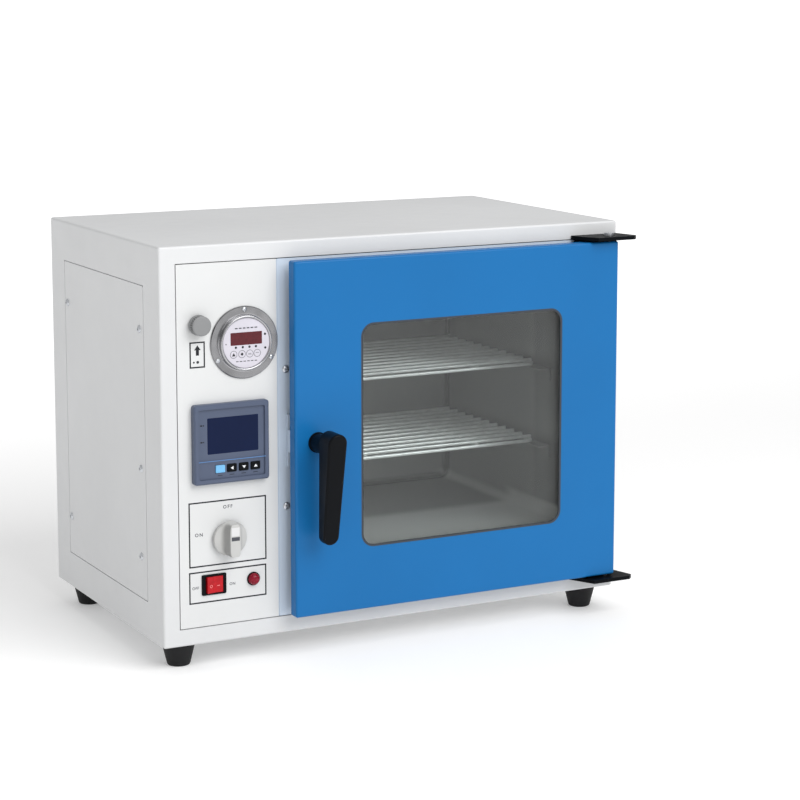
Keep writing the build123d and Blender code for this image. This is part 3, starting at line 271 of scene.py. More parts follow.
def moulded(name, colour, roughness, shine=0.5, grain=0.12, scale=1400.0, mottle=0.05):
    """Moulded plastic or rubber with a fine eroded grain."""
    made, nodes, shader, where = material(name, colour, roughness, shine=shine)
    broad = nodes.noise(where, 30.0)
    nodes.feed(
        shader,
        nodes.tones(broad, colour, 1 - mottle, 1 + mottle),
        nodes.between(broad, roughness - 0.03, roughness + 0.05),
        nodes.relief(nodes.noise(where, scale, 2.0), grain, 0.0002),
    )
    return made


def knob_plastic(name, colour, roughness, centre):
    """Moulded plastic with painted shade on the steep flanks of a knob's grip."""
    made = moulded(name, colour, roughness)
    nodes = Nodes(made.node_tree)
    shader = made.node_tree.nodes["Principled BSDF"]
    given = nodes.add("ShaderNodeTexCoord").outputs
    values = {0: given["Object"], 1: centre}
    offset = nodes.add("ShaderNodeVectorMath", values, operation="SUBTRACT").outputs[0]
    across, turn = [
        nodes.maths("ABSOLUTE", nodes.add("ShaderNodeSeparateXYZ", {0: vector}).outputs[0])
        for vector in (offset, given["Normal"])
    ]
    steep = nodes.remap(turn, 0.25, 0.85, 0.0, 0.8)
    inner = nodes.remap(across, 0.0105, 0.0135)
    plain = shader.inputs["Base Color"].links[0].from_socket
    # painted shade: darker where the surface faces sideways near the grip
    painted_flank_shade = nodes.maths("MULTIPLY", steep, inner)
    nodes.feed(shader, nodes.blend(painted_flank_shade, plain, shade(colour, 0.45)))
    return made


def spun_metal(name, colour, roughness, centre):
    """Metal turned about a front-to-back axis: fine rings round the centre."""
    made, nodes, shader, where = material(name, colour, roughness, 1.0)
    kind = "ShaderNodeVectorMath"
    offset = nodes.add(kind, {0: where, 1: centre}, operation="SUBTRACT").outputs[0]
    flat = nodes.add(kind, {0: offset, 1: (1, 0, 1)}, operation="MULTIPLY").outputs[0]
    radius = nodes.add(kind, {0: flat}, operation="LENGTH").outputs["Value"]
    fine = nodes.maths("MULTIPLY", radius, 2600.0)
    rings = nodes.add("ShaderNodeCombineXYZ", {0: fine}).outputs[0]
    lines = nodes.noise(rings, 1.0, 4.0, 0.6)
    base = nodes.tones(lines, colour, 0.88, 1.1)
    clouds = nodes.between(nodes.noise(where, 45.0, 2.0), 0.0, 0.8)
    base = nodes.blend(clouds, base, shade(colour, 0.62))
    inner = nodes.remap(radius, 0.0295, 0.031)
    nodes.feed(
        shader,
        nodes.blend(inner, base, shade(colour, 1.5)),
        nodes.between(lines, roughness - 0.05, roughness + 0.07),
        nodes.relief(lines, 0.2, 0.0001),
    )
    return made


def window_glass(name, colour):
    """Clear plate glass that lets light through to what is behind it."""
    made, nodes, shader, where = material(name, colour, 0.0)
    shader.inputs["Transmission Weight"].default_value = 1.0
    shader.inputs["IOR"].default_value = 1.3
    nodes.feed(shader, nodes.tones(nodes.noise(where, 14.0, 5.0), colour, 0.985, 1.0))
    shadow = nodes.add("ShaderNodeLightPath").outputs["Is Shadow Ray"]
    clear = nodes.add("ShaderNodeBsdfTransparent", {"Color": shade(colour, 0.97)}).outputs[0]
    values = {0: shadow, 1: shader.outputs[0], 2: clear}
    mixed = nodes.add("ShaderNodeMixShader", values).outputs[0]
    nodes.put(mixed, made.node_tree.nodes["Material Output"].inputs["Surface"])
    return made


def lens_plastic(name, colour, roughness, shine=0.3, glow=0.0, clear=0.3):
    """Coloured translucent plastic."""
    made, nodes, shader, where = material(name, colour, roughness, shine=shine)
    depth = nodes.noise(where, 220.0, 2.0)
    base = nodes.tones(depth, colour, 0.82, 1.12)
    nodes.feed(shader, base, normal=nodes.relief(depth, 0.05, 0.0002))
    shader.inputs["Transmission Weight"].default_value = clear
    shader.inputs["Emission Color"].default_value = colour
    shader.inputs["Emission Strength"].default_value = glow
    return made


# ------------------------------------------------------------------------------ mesh helpers


def keep_mesh(name, mesh, finish, body, replaced=()):
    """Makes a mesh into a piece that rides on a body, and returns it."""
    mesh.name = name
    if finish:
        mesh.materials.clear()
        mesh.materials.append(finish)
    piece = bpy.data.objects.new(name, mesh)
    bpy.context.scene.collection.objects.link(piece)
    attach(piece, body)
    if replaced:
        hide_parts(*replaced)
    return piece


def keep(name, bm, finish, body, replaced=(), smooth=40):
    """Closes a bmesh into a piece, smooth up to an angle in degrees."""
    bmesh.ops.recalc_face_normals(bm, faces=bm.faces)
    mesh = bpy.data.meshes.new(name)
    bm.to_mesh(mesh)
    bm.free()
    if smooth:
        mesh.polygons.foreach_set("use_smooth", [True] * len(mesh.polygons))
        mesh.set_sharp_from_angle(angle=math.radians(smooth))
    return keep_mesh(name, mesh, finish, body, replaced)


def loft(bm, rings):
    """Joins rings of equally many points into a closed skin."""
    made = [[bm.verts.new(point) for point in ring] for ring in rings]
    for lower, upper in zip(made, made[1:]):
        for index in range(len(lower)):
            after = (index + 1) % len(lower)
            bm.faces.new((lower[index], lower[after], upper[after], upper[index]))
    bm.faces.new(made[0])
    bm.faces.new(made[-1])


def slab(bm, low_u, high_u, low_w, high_w, *ends):
    """A block with its edges in u and w, between two ends in v, in millimetres."""
    corners = ((low_u, low_w), (high_u, low_w), (high_u, high_w), (low_u, high_w))
    loft(bm, [[place(u, v, w) for u, w in corners] for v in ends])


def turned(bm, u, w, profile, segments):
    """Revolves (radius, v) pairs, in millimetres, about a front-to-back axis."""
    rings = []
    for radius, v in profile:
        steps = (2 * math.pi * step / segments for step in range(segments))
        rings.append([place(u + radius * math.cos(a), v, w + radius * math.sin(a)) for a in steps])
    loft(bm, rings)


surfaces = {}


def surface(node, x, z):
    """How far back, in metres, the front of a CAD node lies at a place in the frame."""
    if node not in surfaces:
        depsgraph = bpy.context.evaluated_depsgraph_get()
        surfaces[node] = BVHTree.FromObject(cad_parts[node], depsgraph)
    hit = surfaces[node].ray_cast(Vector((x, -1, z)), Vector((0, 1, 0)))
    return hit[0].y if hit[0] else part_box(node)[0][1]


def print_on(bm, node, outline, thickness=PRINT):
    """A flat printed or applied shape on the front of a node, from its (u, w) corners."""
    front, back = [], []
    for u, w in outline:
        point = place(u, 0, w)
        point.y = surface(node, point.x, point.z)
        back.append(bm.verts.new(point + Vector((0, PRINT_ROOT * MM, 0))))
        front.append(bm.verts.new(point - Vector((0, thickness * MM, 0))))
    bm.faces.new(front)
    bm.faces.new(back[::-1])
    for index in range(len(front)):
        after = (index + 1) % len(front)
        bm.faces.new((front[index], back[index], back[after], front[after]))


def print_box(bm, node, low_u, high_u, low_w, high_w, thickness=PRINT):
    corners = [(low_u, low_w), (high_u, low_w), (high_u, high_w), (low_u, high_w)]
    print_on(bm, node, corners, thickness)


def print_frame(bm, node, low_u, high_u, low_w, high_w, line):
    """A rectangular outline, as four bars that meet without overlap."""
    print_box(bm, node, low_u, high_u, low_w, low_w + line)
    print_box(bm, node, low_u, high_u, high_w - line, high_w)
    print_box(bm, node, low_u, low_u + line, low_w + line, high_w - line)
    print_box(bm, node, high_u - line, high_u, low_w + line, high_w - line)


def print_disc(bm, node, u, w, radius):
    angles = [2 * math.pi * step / DISC_STEPS for step in range(DISC_STEPS)]
    print_on(bm, node, [(u + radius * math.cos(a), w + radius * math.sin(a)) for a in angles])


def print_ring(bm, node, u, w, radius, line, wide=1.0, steps=36):
    """A circular or oval outline, in short blocks."""
    inner = radius - line
    for step in range(steps):
        first, second = 2 * math.pi * step / steps, 2 * math.pi * (step + 1) / steps
        ends = ((first, radius), (second, radius), (second, inner), (first, inner))
        corners = [(u + wide * out * math.cos(a), w + out * math.sin(a)) for a, out in ends]
        print_on(bm, node, corners)


def print_word(bm, node, word, u, w, height, spread):
    """A printed word, centred at a place, on the front of a node."""
    curve = bpy.data.curves.new(word, "FONT")
    curve.body = word
    curve.size = height / 0.7
    curve.align_x = curve.align_y = "CENTER"
    curve.space_character = spread
    curve.extrude = WORD_PRINT
    curve.offset = height * 0.025
    curve.resolution_u = 3
    holder = bpy.data.objects.new(word, curve)
    bpy.context.scene.collection.objects.link(holder)
    depsgraph = bpy.context.evaluated_depsgraph_get()
    mesh = bpy.data.meshes.new_from_object(holder.evaluated_get(depsgraph))
    bpy.data.objects.remove(holder)
    for vertex in mesh.vertices:
        across, up, raised = vertex.co
        point = place(u + across, 0, w + up)
        point.y = surface(node, point.x, point.z) - (WORD_PRINT if raised > 0 else -PRINT_ROOT) * MM
        vertex.co = point
    bm.from_mesh(mesh)
    bpy.data.meshes.remove(mesh)


def islands(node):
    """The lowest and highest corners of each separate solid in a CAD node, in a fixed order."""
    bm = bmesh.new()
    bm.from_mesh(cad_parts[node].data)
    bmesh.ops.remove_doubles(bm, verts=bm.verts, dist=0.00001)
    left, found = set(bm.verts), []
    while left:
        stack, part = [left.pop()], []
        while stack:
            vertex = stack.pop()
            part.append(vertex.co.copy())
            for edge in vertex.link_edges:
                other = edge.other_vert(vertex)
                if other in left:
                    left.remove(other)
                    stack.append(other)
        low = Vector(min(point[axis] for point in part) for axis in range(3))
        high = Vector(max(point[axis] for point in part) for axis in range(3))
        found.append((low, high))
    bm.free()
    return sorted(found, key=lambda corners: tuple(corners[0]))


# ------------------------------------------------------------------------------ repeats


def group(name, inputs):
    """A geometry node tree with named inputs, and its notation, input node and output node."""
    tree = bpy.data.node_groups.new(name, "GeometryNodeTree")
    tree.interface.new_socket(name="Geometry", in_out="INPUT", socket_type="NodeSocketGeometry")
    for label, kind in inputs:
        tree.interface.new_socket(name=label, in_out="INPUT", socket_type="NodeSocket" + kind)
    tree.interface.new_socket(name="Geometry", in_out="OUTPUT", socket_type="NodeSocketGeometry")
    nodes = Nodes(tree)
    return tree, nodes, nodes.add("NodeGroupInput"), nodes.add("NodeGroupOutput")


def settle(nodes, geometry, finish, result):
    """Ends a tree: real geometry and one material."""
    real = nodes.add("GeometryNodeRealizeInstances", {"Geometry": geometry}).outputs[0]
    painted = nodes.add("GeometryNodeSetMaterial", {"Geometry": real, "Material": finish}).outputs[0]
    nodes.tree.links.new(painted, result.inputs[0])


def chance(nodes, given, low, high):
    """A random number for each point, from the tree's own seed."""
    values = {2: low, 3: high, "Seed": given.outputs["Seed"]}
    return nodes.add("FunctionNodeRandomValue", values, data_type="FLOAT").outputs[1]


def screw_tree():
    """Dome-headed screws with a cross recess, one on each point, facing its "facing"."""
    inputs = [
        ("Head Radius", "Float"),
        ("Head Height", "Float"),
        ("Shank Radius", "Float"),
        ("Shank Length", "Float"),
        ("Recess Width", "Float"),
        ("Seed", "Int"),
        ("Material", "Material"),
    ]
    tree, nodes, given, result = group("Dome Screws", inputs)
    radius, height = given.outputs["Head Radius"], given.outputs["Head Height"]
    values = {"Segments": 28, "Rings": 16, "Radius": 1.0}
    ball = nodes.add("GeometryNodeMeshUVSphere", values).outputs["Mesh"]
    size = nodes.add("ShaderNodeCombineXYZ", {0: radius, 1: radius, 2: height}).outputs[0]
    dome = nodes.transform(ball, "Scale", size)
    position = nodes.add("GeometryNodeInputPosition").outputs[0]
    level = nodes.add("ShaderNodeSeparateXYZ", {0: position}).outputs[2]
    sunk = nodes.add("FunctionNodeCompare", {0: level, 1: -0.00001}, operation="LESS_THAN")
    values = {"Geometry": dome, "Selection": sunk.outputs[0]}
    dome = nodes.add("GeometryNodeDeleteGeometry", values).outputs[0]
    # the recess is a cross cut into the top of the dome
    width = given.outputs["Recess Width"]
    deep = nodes.maths("MULTIPLY", height, 0.9)
    lift = nodes.add("ShaderNodeCombineXYZ", {2: height}).outputs[0]
    arms = []
    for long_axis in (0, 1):
        sides = {long_axis: radius, 1 - long_axis: width, 2: deep}
        size = nodes.add("ShaderNodeCombineXYZ", sides).outputs[0]
        bar = nodes.add("GeometryNodeMeshCube", {"Size": size}).outputs["Mesh"]
        arms.append(nodes.transform(bar, "Translation", lift))
    values = {"Vertices": 28, "Radius": radius, "Depth": 0.0002}
    base = nodes.add("GeometryNodeMeshCylinder", values).outputs["Mesh"]
    values = {"Geometry": nodes.join(dome, base)}
    values = {"Mesh 1": nodes.add("GeometryNodeSetShadeSmooth", values).outputs[0]}
    cut = nodes.add("GeometryNodeMeshBoolean", values, operation="DIFFERENCE", solver="FLOAT")
    for bar in arms:
        nodes.tree.links.new(bar, cut.inputs["Mesh 2"])
    length = given.outputs["Shank Length"]
    values = {"Vertices": 20, "Radius": given.outputs["Shank Radius"], "Depth": length}
    shank = nodes.add("GeometryNodeMeshCylinder", values).outputs["Mesh"]
    drop = nodes.maths("MULTIPLY", length, -0.5)
    down = nodes.add("ShaderNodeCombineXYZ", {2: drop}).outputs[0]
    screw = nodes.join(cut.outputs[0], nodes.transform(shank, "Translation", down))
    values = {"Name": "facing"}
    facing = nodes.add("GeometryNodeInputNamedAttribute", values, data_type="FLOAT_VECTOR")
    values = {"Vector": facing.outputs[0]}
    upright = nodes.add("FunctionNodeAlignRotationToVector", values, axis="Z").outputs[0]
    values = {"Axis": (0, 0, 1), "Angle": chance(nodes, given, 0.0, math.pi / 2)}
    spin = nodes.add("FunctionNodeAxisAngleToRotation", values).outputs[0]
    values = {0: upright, 1: spin}
    turn = nodes.add("FunctionNodeRotateRotation", values, rotation_space="LOCAL").outputs[0]
    values = {"Points": given.outputs["Geometry"], "Instance": screw, "Rotation": turn}
    placed = nodes.add("GeometryNodeInstanceOnPoints", values).outputs[0]
    settle(nodes, placed, given.outputs["Material"], result)
    return tree


def rib_tree():
    """Long ribs round a front-to-back axis through the single point of the mesh it is given."""
    inputs = [
        ("Count", "Int"),
        ("Radius", "Float"),
        ("Rib Width", "Float"),
        ("Length", "Float"),
        ("Material", "Material"),
    ]
    tree, nodes, given, result = group("Grip Ribs", inputs)
    values = {"Vertices": given.outputs["Count"], "Radius": given.outputs["Radius"]}
    circle = nodes.add("GeometryNodeMeshCircle", values).outputs[0]
    frontwards = (math.pi / 2, 0, 0)
    values = {
        "Vertices": 10,
        "Radius": given.outputs["Rib Width"],
        "Depth": given.outputs["Length"],
    }
    rib = nodes.add("GeometryNodeMeshCylinder", values).outputs["Mesh"]
    rib = nodes.transform(rib, "Rotation", frontwards)
    rib = nodes.add("GeometryNodeSetShadeSmooth", {"Geometry": rib}).outputs[0]
    values = {"Points": nodes.transform(circle, "Rotation", frontwards), "Instance": rib}
    around = nodes.add("GeometryNodeInstanceOnPoints", values).outputs[0]
    values = {"Points": given.outputs["Geometry"], "Instance": around}
    placed = nodes.add("GeometryNodeInstanceOnPoints", values).outputs[0]
    settle(nodes, placed, given.outputs["Material"], result)
    return tree


def bead_tree():
    """A small flattened weld bead on each point."""
    inputs = [("Radius", "Float"), ("Seed", "Int"), ("Material", "Material")]
    tree, nodes, given, result = group("Weld Beads", inputs)
    values = {"Radius": given.outputs["Radius"], "Subdivisions": 2}
    ball = nodes.add("GeometryNodeMeshIcoSphere", values).outputs[0]
    ball = nodes.transform(ball, "Scale", (1.25, 1.0, 0.7))
    ball = nodes.add("GeometryNodeSetShadeSmooth", {"Geometry": ball}).outputs[0]
    scale = chance(nodes, given, 0.8, 1.15)
    values = {"Points": given.outputs["Geometry"], "Instance": ball, "Scale": scale}
    placed = nodes.add("GeometryNodeInstanceOnPoints", values).outputs[0]
    settle(nodes, placed, given.outputs["Material"], result)
    return tree


def repeat(name, points, tree, values, facing=None):
    """The plain mesh that a tree makes of some points, with its inputs set by name."""
    seed = bpy.data.meshes.new(name + "_points")
    seed.from_pydata([tuple(point) for point in points], [], [])
    if facing is not None:
        attribute = seed.attributes.new("facing", "FLOAT_VECTOR", "POINT")
        for index in range(len(points)):
            attribute.data[index].vector = facing
    holder = bpy.data.objects.new(name + "_points", seed)
    bpy.context.scene.collection.objects.link(holder)
    modifier = holder.modifiers.new("Repeat", "NODES")
    modifier.node_group = tree
    for item in tree.interface.items_tree:
        if item.in_out == "INPUT" and item.name in values:
            modifier[item.identifier] = values[item.name]
    bpy.context.view_layer.update()
    depsgraph = bpy.context.evaluated_depsgraph_get()
    evaluated = holder.evaluated_get(depsgraph)
    mesh = bpy.data.meshes.new_from_object(evaluated, depsgraph=depsgraph)
    bpy.data.objects.remove(holder)
    return mesh


# ------------------------------------------------------------------------------ settings


class OvenStageSettings(bpy.types.PropertyGroup):
    """Camera and studio."""

    lens: FloatProperty(name="Lens", description="Focal length in millimetres", default=104.5)
    floor_tone: FloatProperty(
        name="Floor Tone", description="Brightness of the floor", default=0.9, min=0, max=1
    )
    floor_glow: FloatProperty(
        name="Floor Glow", description="Light given off by the floor near the oven", default=0.2
    )
    far_glow: FloatProperty(
        name="Far Glow", description="Light given off by the floor far behind", default=0.62
    )
    key_power: FloatProperty(
        name="Key Power", description="Power of the front light in watts", default=87.0
    )
    sky: FloatProperty(name="Sky", description="Strength of the surrounding light", default=0.6)


class OvenScrewSettings(bpy.types.PropertyGroup):
    """Screw heads."""

    recess: FloatProperty(
        name="Recess Width",
        description="Width of the cross recess's arms",
        default=0.0008,
        unit="LENGTH",
    )
    head_height: FloatProperty(
        name="Head Height", description="Height of a dome head", default=0.0022, unit="LENGTH"
    )


class OvenMarkSettings(bpy.types.PropertyGroup):
    """Printed marks on the control panel."""

    line: FloatProperty(
        name="Line", description="Width of a printed outline in millimetres", default=1.5
    )
    letter: FloatProperty(
        name="Letter", description="Height of a printed letter in millimetres", default=3.6
    )


class OvenKnobSettings(bpy.types.PropertyGroup):
    """The two knobs of the control panel."""

    rib_count: IntProperty(
        name="Rib Count", description="Grip ribs round the release knob", default=26
    )
    rib_width: FloatProperty(
        name="Rib Width", description="Radius of one grip rib", default=0.00082, unit="LENGTH"
    )
    fin_width: FloatProperty(
        name="Fin Width",
        description="Half width of the valve knob's fin in millimetres",
        default=5.9,
    )


class OvenShelfSettings(bpy.types.PropertyGroup):
    """Welds of the wire shelves."""

    bead: FloatProperty(
        name="Bead", description="Radius of a weld bead", default=0.0016, unit="LENGTH"
    )


# ------------------------------------------------------------------------------ operators

finishes = {}


class OVEN_OT_finishes(bpy.types.Operator):
    """Make every finish and put it on the CAD parts"""

    bl_idname = "oven.finishes"
    bl_label = "Finishes"

    def execute(self, context):
        gauge = place(GAUGE[0], 0, GAUGE[1])
        knob = place(VALVE_KNOB[0], 0, VALVE_KNOB[1])
        made = {
            "casing_paint": paint("casing_enamel", srgb(212, 213, 214), 0.42, coat=0.1),
            "front_paint": paint("panel_enamel", srgb(215, 216, 216), 0.38, coat=0.1),
            # grey enamel with a painted blue reflection of the door mixed into its colour
            "plate_paint": paint("plate_enamel_with_door_reflection", srgb(196, 208, 222), 0.38, coat=0.1),
            "door_paint": paint("door_enamel", srgb(17, 104, 166), 0.36, 0.22, peel=0.06, mottle=0.04),
            "frame_metal": paint("door_lining_paint", srgb(186, 190, 196), 0.45),
            "black_steel": paint("hinge_black_paint", srgb(9, 12, 16), 0.45, 0.06, peel=0.12),
            "zinc_steel": cast_metal("zinc_plate", srgb(205, 208, 212), 0.24),
            "brass": cast_metal("brass", srgb(214, 176, 98), 0.28),
            "chrome": cast_metal("shelf_chrome", srgb(238, 238, 236), 0.3, 0.03, metallic=0.6),
            "stainless": chamber_steel("chamber_steel", srgb(170, 169, 167), 0.42),
            "rubber": moulded("foot_rubber", srgb(18, 18, 20), 0.62, 0.3, grain=0.25),
            "silicone": moulded("gasket_silicone", srgb(150, 80, 72), 0.48, 0.4, grain=0.06),
            "glass": window_glass("door_glass", (0.88, 0.9, 0.9, 1)),
            "black_plastic": moulded("handle_plastic", srgb(8, 10, 14), 0.36, 0.1, grain=0.1),
            "grey_plastic": moulded("knob_grey_plastic", srgb(134, 135, 136), 0.55),
            "slate_plastic": moulded("controller_plastic", srgb(80, 90, 112), 0.42, 0.36, 0.08),
            "key_blue": moulded("set_key_plastic", srgb(112, 180, 226), 0.4),
            "screen": moulded("display_filter", srgb(14, 27, 60), 0.1, 0.1, grain=0.0),
            "dial": moulded("dial_film", srgb(206, 203, 212), 0.35, grain=0.03),
            "led_window": lens_plastic("led_filter", srgb(84, 18, 28), 0.16, glow=0.04, clear=0.0),
            "gauge_shell": moulded("gauge_housing", srgb(36, 36, 40), 0.5),
            "red_rocker": lens_plastic("rocker_red", srgb(186, 22, 32), 0.25, 0.2, 0.04, clear=0.1),
            "lamp_red": lens_plastic("lamp_red", srgb(150, 12, 42), 0.14, 0.2, glow=0.02),
            "valve_metal": cast_metal("valve_brass", srgb(196, 170, 120), 0.32),
            "pipe": moulded("vacuum_hose", srgb(200, 196, 186), 0.4),
            "wool": moulded("glass_wool", srgb(226, 214, 176), 0.95, 0.5, 0.9, 500.0, mottle=0.12),
            "heater": moulded("heater_mat", srgb(196, 110, 60), 0.6, grain=0.3),
            "bezel_metal": spun_metal("gauge_rim_steel", srgb(146, 146, 148), 0.22, gauge),
            "seal_rubber": moulded("window_rubber", srgb(58, 61, 66), 0.5, 0.3, grain=0.15),
            "ink": moulded("panel_ink", srgb(26, 28, 34), 0.5, 0.3, grain=0.02),
            "pale_ink": moulded("panel_grey_ink", srgb(74, 76, 82), 0.5, 0.3, grain=0.02),
            "white_ink": moulded("key_white_ink", srgb(232, 234, 238), 0.5, grain=0.02),
            "rocker_ink": moulded("rocker_pale_ink", srgb(236, 138, 138), 0.5, grain=0.02),
            "line_ink": moulded("controller_line_ink", srgb(88, 132, 186), 0.45, grain=0.02),
            "knob_light": knob_plastic("valve_knob_plastic", srgb(190, 190, 188), 0.42, knob),
            "knob_label": moulded("valve_knob_label", srgb(214, 214, 214), 0.4, grain=0.0),
        }
        finishes.update(made)
        special = {
            "gauge_bezel": "bezel_metal",
            "front_plate": "plate_paint",
            "window_seal": "seal_rubber",
            "handle_bush": "black_steel",
            "latch_strike": "plate_paint",
        }
        for node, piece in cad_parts.items():
            for index, old in enumerate(piece.data.materials):
                wanted = special.get(node, old.name.split(".")[0])
                piece.material_slots[index].material = made[wanted]
        return {"FINISHED"}


class OVEN_OT_screws(bpy.types.Operator):
    """Make the screws, each with its cross recess, in place of the plain ones"""

    bl_idname = "oven.screws"
    bl_label = "Screws"

    def execute(self, context):
        wanted = context.scene.oven_screws
        tree = screw_tree()
        rows = [
            ("access_panel_screws", LEFTWARDS, wanted.head_height),
            ("front_plate_screws", FRONTWARDS, wanted.head_height),
            ("bracket_screws", FRONTWARDS, wanted.head_height),
            ("gauge_screws", FRONTWARDS, 0.0014),
            ("rear_panel_screws", REARWARDS, wanted.head_height),
            ("foot_screws", DOWNWARDS, wanted.head_height),
        ]
        for seed, (node, facing, height) in enumerate(rows):
            points, reach, radius = [], 0.0, 0.0
            for low, high in islands(node):
                middle = (low + high) / 2
                half = (high - low) / 2
                along = abs(half.dot(facing))
                points.append(middle + facing * (along - height))
                reach = 2 * along - height
                radius = min(side for side, axis in zip(half, facing) if not axis)
            values = {
                "Head Radius": radius,
                "Head Height": height,
                "Shank Radius": radius * 0.47,
                "Shank Length": reach,
                "Recess Width": wanted.recess * (0.7 if node == "gauge_screws" else 1.0),
                "Seed": seed,
                "Material": finishes["zinc_steel"],
            }
            mesh = repeat(node, points, tree, values, facing)
            name = node.replace("_screws", "_screw_set")
            keep_mesh(name, mesh, None, "cabinet", (node,))
        return {"FINISHED"}


class OVEN_OT_panel_marks(bpy.types.Operator):
    """Print the panel's outlines, arrow and ON and OFF words, and fill its seam"""

    bl_idname = "oven.panel_marks"
    bl_label = "Panel Marks"

    def execute(self, context):
        wanted = context.scene.oven_marks
        bm = bmesh.new()
        node = "control_panel"
        valve, power = (29.4, 117.3, 82.8, 152), (29, 116.9, 44, 78)
        release = (32.9, 50, 293, 320.3)
        for edges in (valve, power, release):
            print_frame(bm, node, *edges, wanted.line)
        shaft = [(40, 311.6), (40, 306), (43.4, 306), (43.4, 311.6)]
        tip = [(45.3, 311.6), (41.7, 316.8), (38.1, 311.6)]
        print_on(bm, node, shaft + tip)
        print_disc(bm, node, 37.6, 299, 1.0)
        print_disc(bm, node, 41.9, 299, 1.5)
        keep("panel_outlines", bm, finishes["ink"], "cabinet", smooth=0)
        bm = bmesh.new()
        print_word(bm, node, "OFF", 73.5, 144, wanted.letter, 1.35)
        print_word(bm, node, "ON", 40.7, 117, wanted.letter, 1.35)
        print_word(bm, node, "OFF", 36.2, 60.6, wanted.letter * 0.8, 1.1)
        print_word(bm, node, "ON", 77.9, 60.8, wanted.letter * 0.8, 1.1)
        keep("panel_words", bm, finishes["pale_ink"], "cabinet", smooth=0)
        bm = bmesh.new()
        slab(bm, 131.1, 131.9, 19.4, 400.6, 0.4, 3)
        keep("panel_seam_filler", bm, finishes["plate_paint"], "cabinet", smooth=0)
        return {"FINISHED"}


class OVEN_OT_gauge(bpy.types.Operator):
    """Print the gauge's dial and raise its four keys"""

    bl_idname = "oven.gauge"
    bl_label = "Gauge"

    def execute(self, context):
        (u, w), node = GAUGE, "gauge_face"
        keys, level = (-14.4, -5.0, 3.8, 12.2), w - 11.3
        bm = bmesh.new()
        for across in (-11.8, -4.0, 3.5, 10.8):
            print_disc(bm, node, u + across, w - 4.1, 1.25)
        for across, up in ((21.2, 8.1), (21.4, -6.3)):
            print_disc(bm, node, u + across, w + up, 1.25)
        triangle = [(keys[0] - 1.9, -1.6), (keys[0] + 1.9, -1.6), (keys[0], 1.8)]
        diamond = [(keys[1] - 1.8, 0), (keys[1], -1.8), (keys[1] + 1.8, 0), (keys[1], 1.8)]
        for corners in (triangle, diamond):
            print_on(bm, node, [(u + across, level + up) for across, up in corners], KEY_PRINT)
        keep("dial_marks", bm, finishes["ink"], "cabinet", smooth=0)
        bm = bmesh.new()
        for across in keys:
            print_ring(bm, node, u + across, level, 4.0, 0.4)
        for number in range(6):
            upper, lower = u + 4.4 * number, u + 4.2 * number
            print_box(bm, node, upper - 12.6, upper - 9.6, w + 15.2, w + 16.4)
            print_box(bm, node, lower - 11.8, lower - 9.0, w - 19.3, w - 18.4)
        for across, up in ((keys[2], 0.3), (keys[2], -0.7), (keys[3], 0.5)):
            middle, height = u + across, level + up
            edges = (middle - 1.8, middle + 1.8, height - 0.2, height + 0.2)
            print_box(bm, node, *edges, KEY_PRINT)
        print_box(bm, node, u - 23.4, u - 22.2, w - 0.6, w + 0.6)
        keep("dial_print", bm, finishes["pale_ink"], "cabinet", smooth=0)
        bm = bmesh.new()
        for across in keys:
            profile = [(3.5, -6.3), (3.5, -6.55), (3.1, -6.65), (0.5, -6.7)]
            turned(bm, u + across, level, profile, 28)
        keep("dial_keys", bm, finishes["dial"], "cabinet")
        return {"FINISHED"}


class OVEN_OT_release_knob(bpy.types.Operator):
    """Build the ribbed air release knob"""

    bl_idname = "oven.release_knob"
    bl_label = "Release Knob"

    def execute(self, context):
        wanted = context.scene.oven_knobs
        u, w = RELEASE_KNOB
        bm = bmesh.new()
        profile = [(2.5, 8.9), (2.5, -2), (10.2, -2), (10.7, -2.6), (10.7, -4.6), (10.3, -5.2)]
        profile += [(8.8, -5.5), (8.8, -10.4), (10.1, -10.7), (10.3, -11.1), (10.3, -12.2)]
        profile += [(9.6, -12.9), (8.6, -13), (0.4, -13)]
        turned(bm, u, w, profile, 96)
        values = {
            "Count": wanted.rib_count,
            "Radius": 9.4 * MM,
            "Rib Width": wanted.rib_width,
            "Length": 5.4 * MM,
            "Material": finishes["grey_plastic"],
        }
        ribs = repeat("ribs", [place(u, -7.95, w)], rib_tree(), values)
        bm.from_mesh(ribs)
        bpy.data.meshes.remove(ribs)
        finish, replaced = finishes["grey_plastic"], ("air_valve_knob",)
        keep("release_knob_grip", bm, finish, "release_knob", replaced)
        return {"FINISHED"}


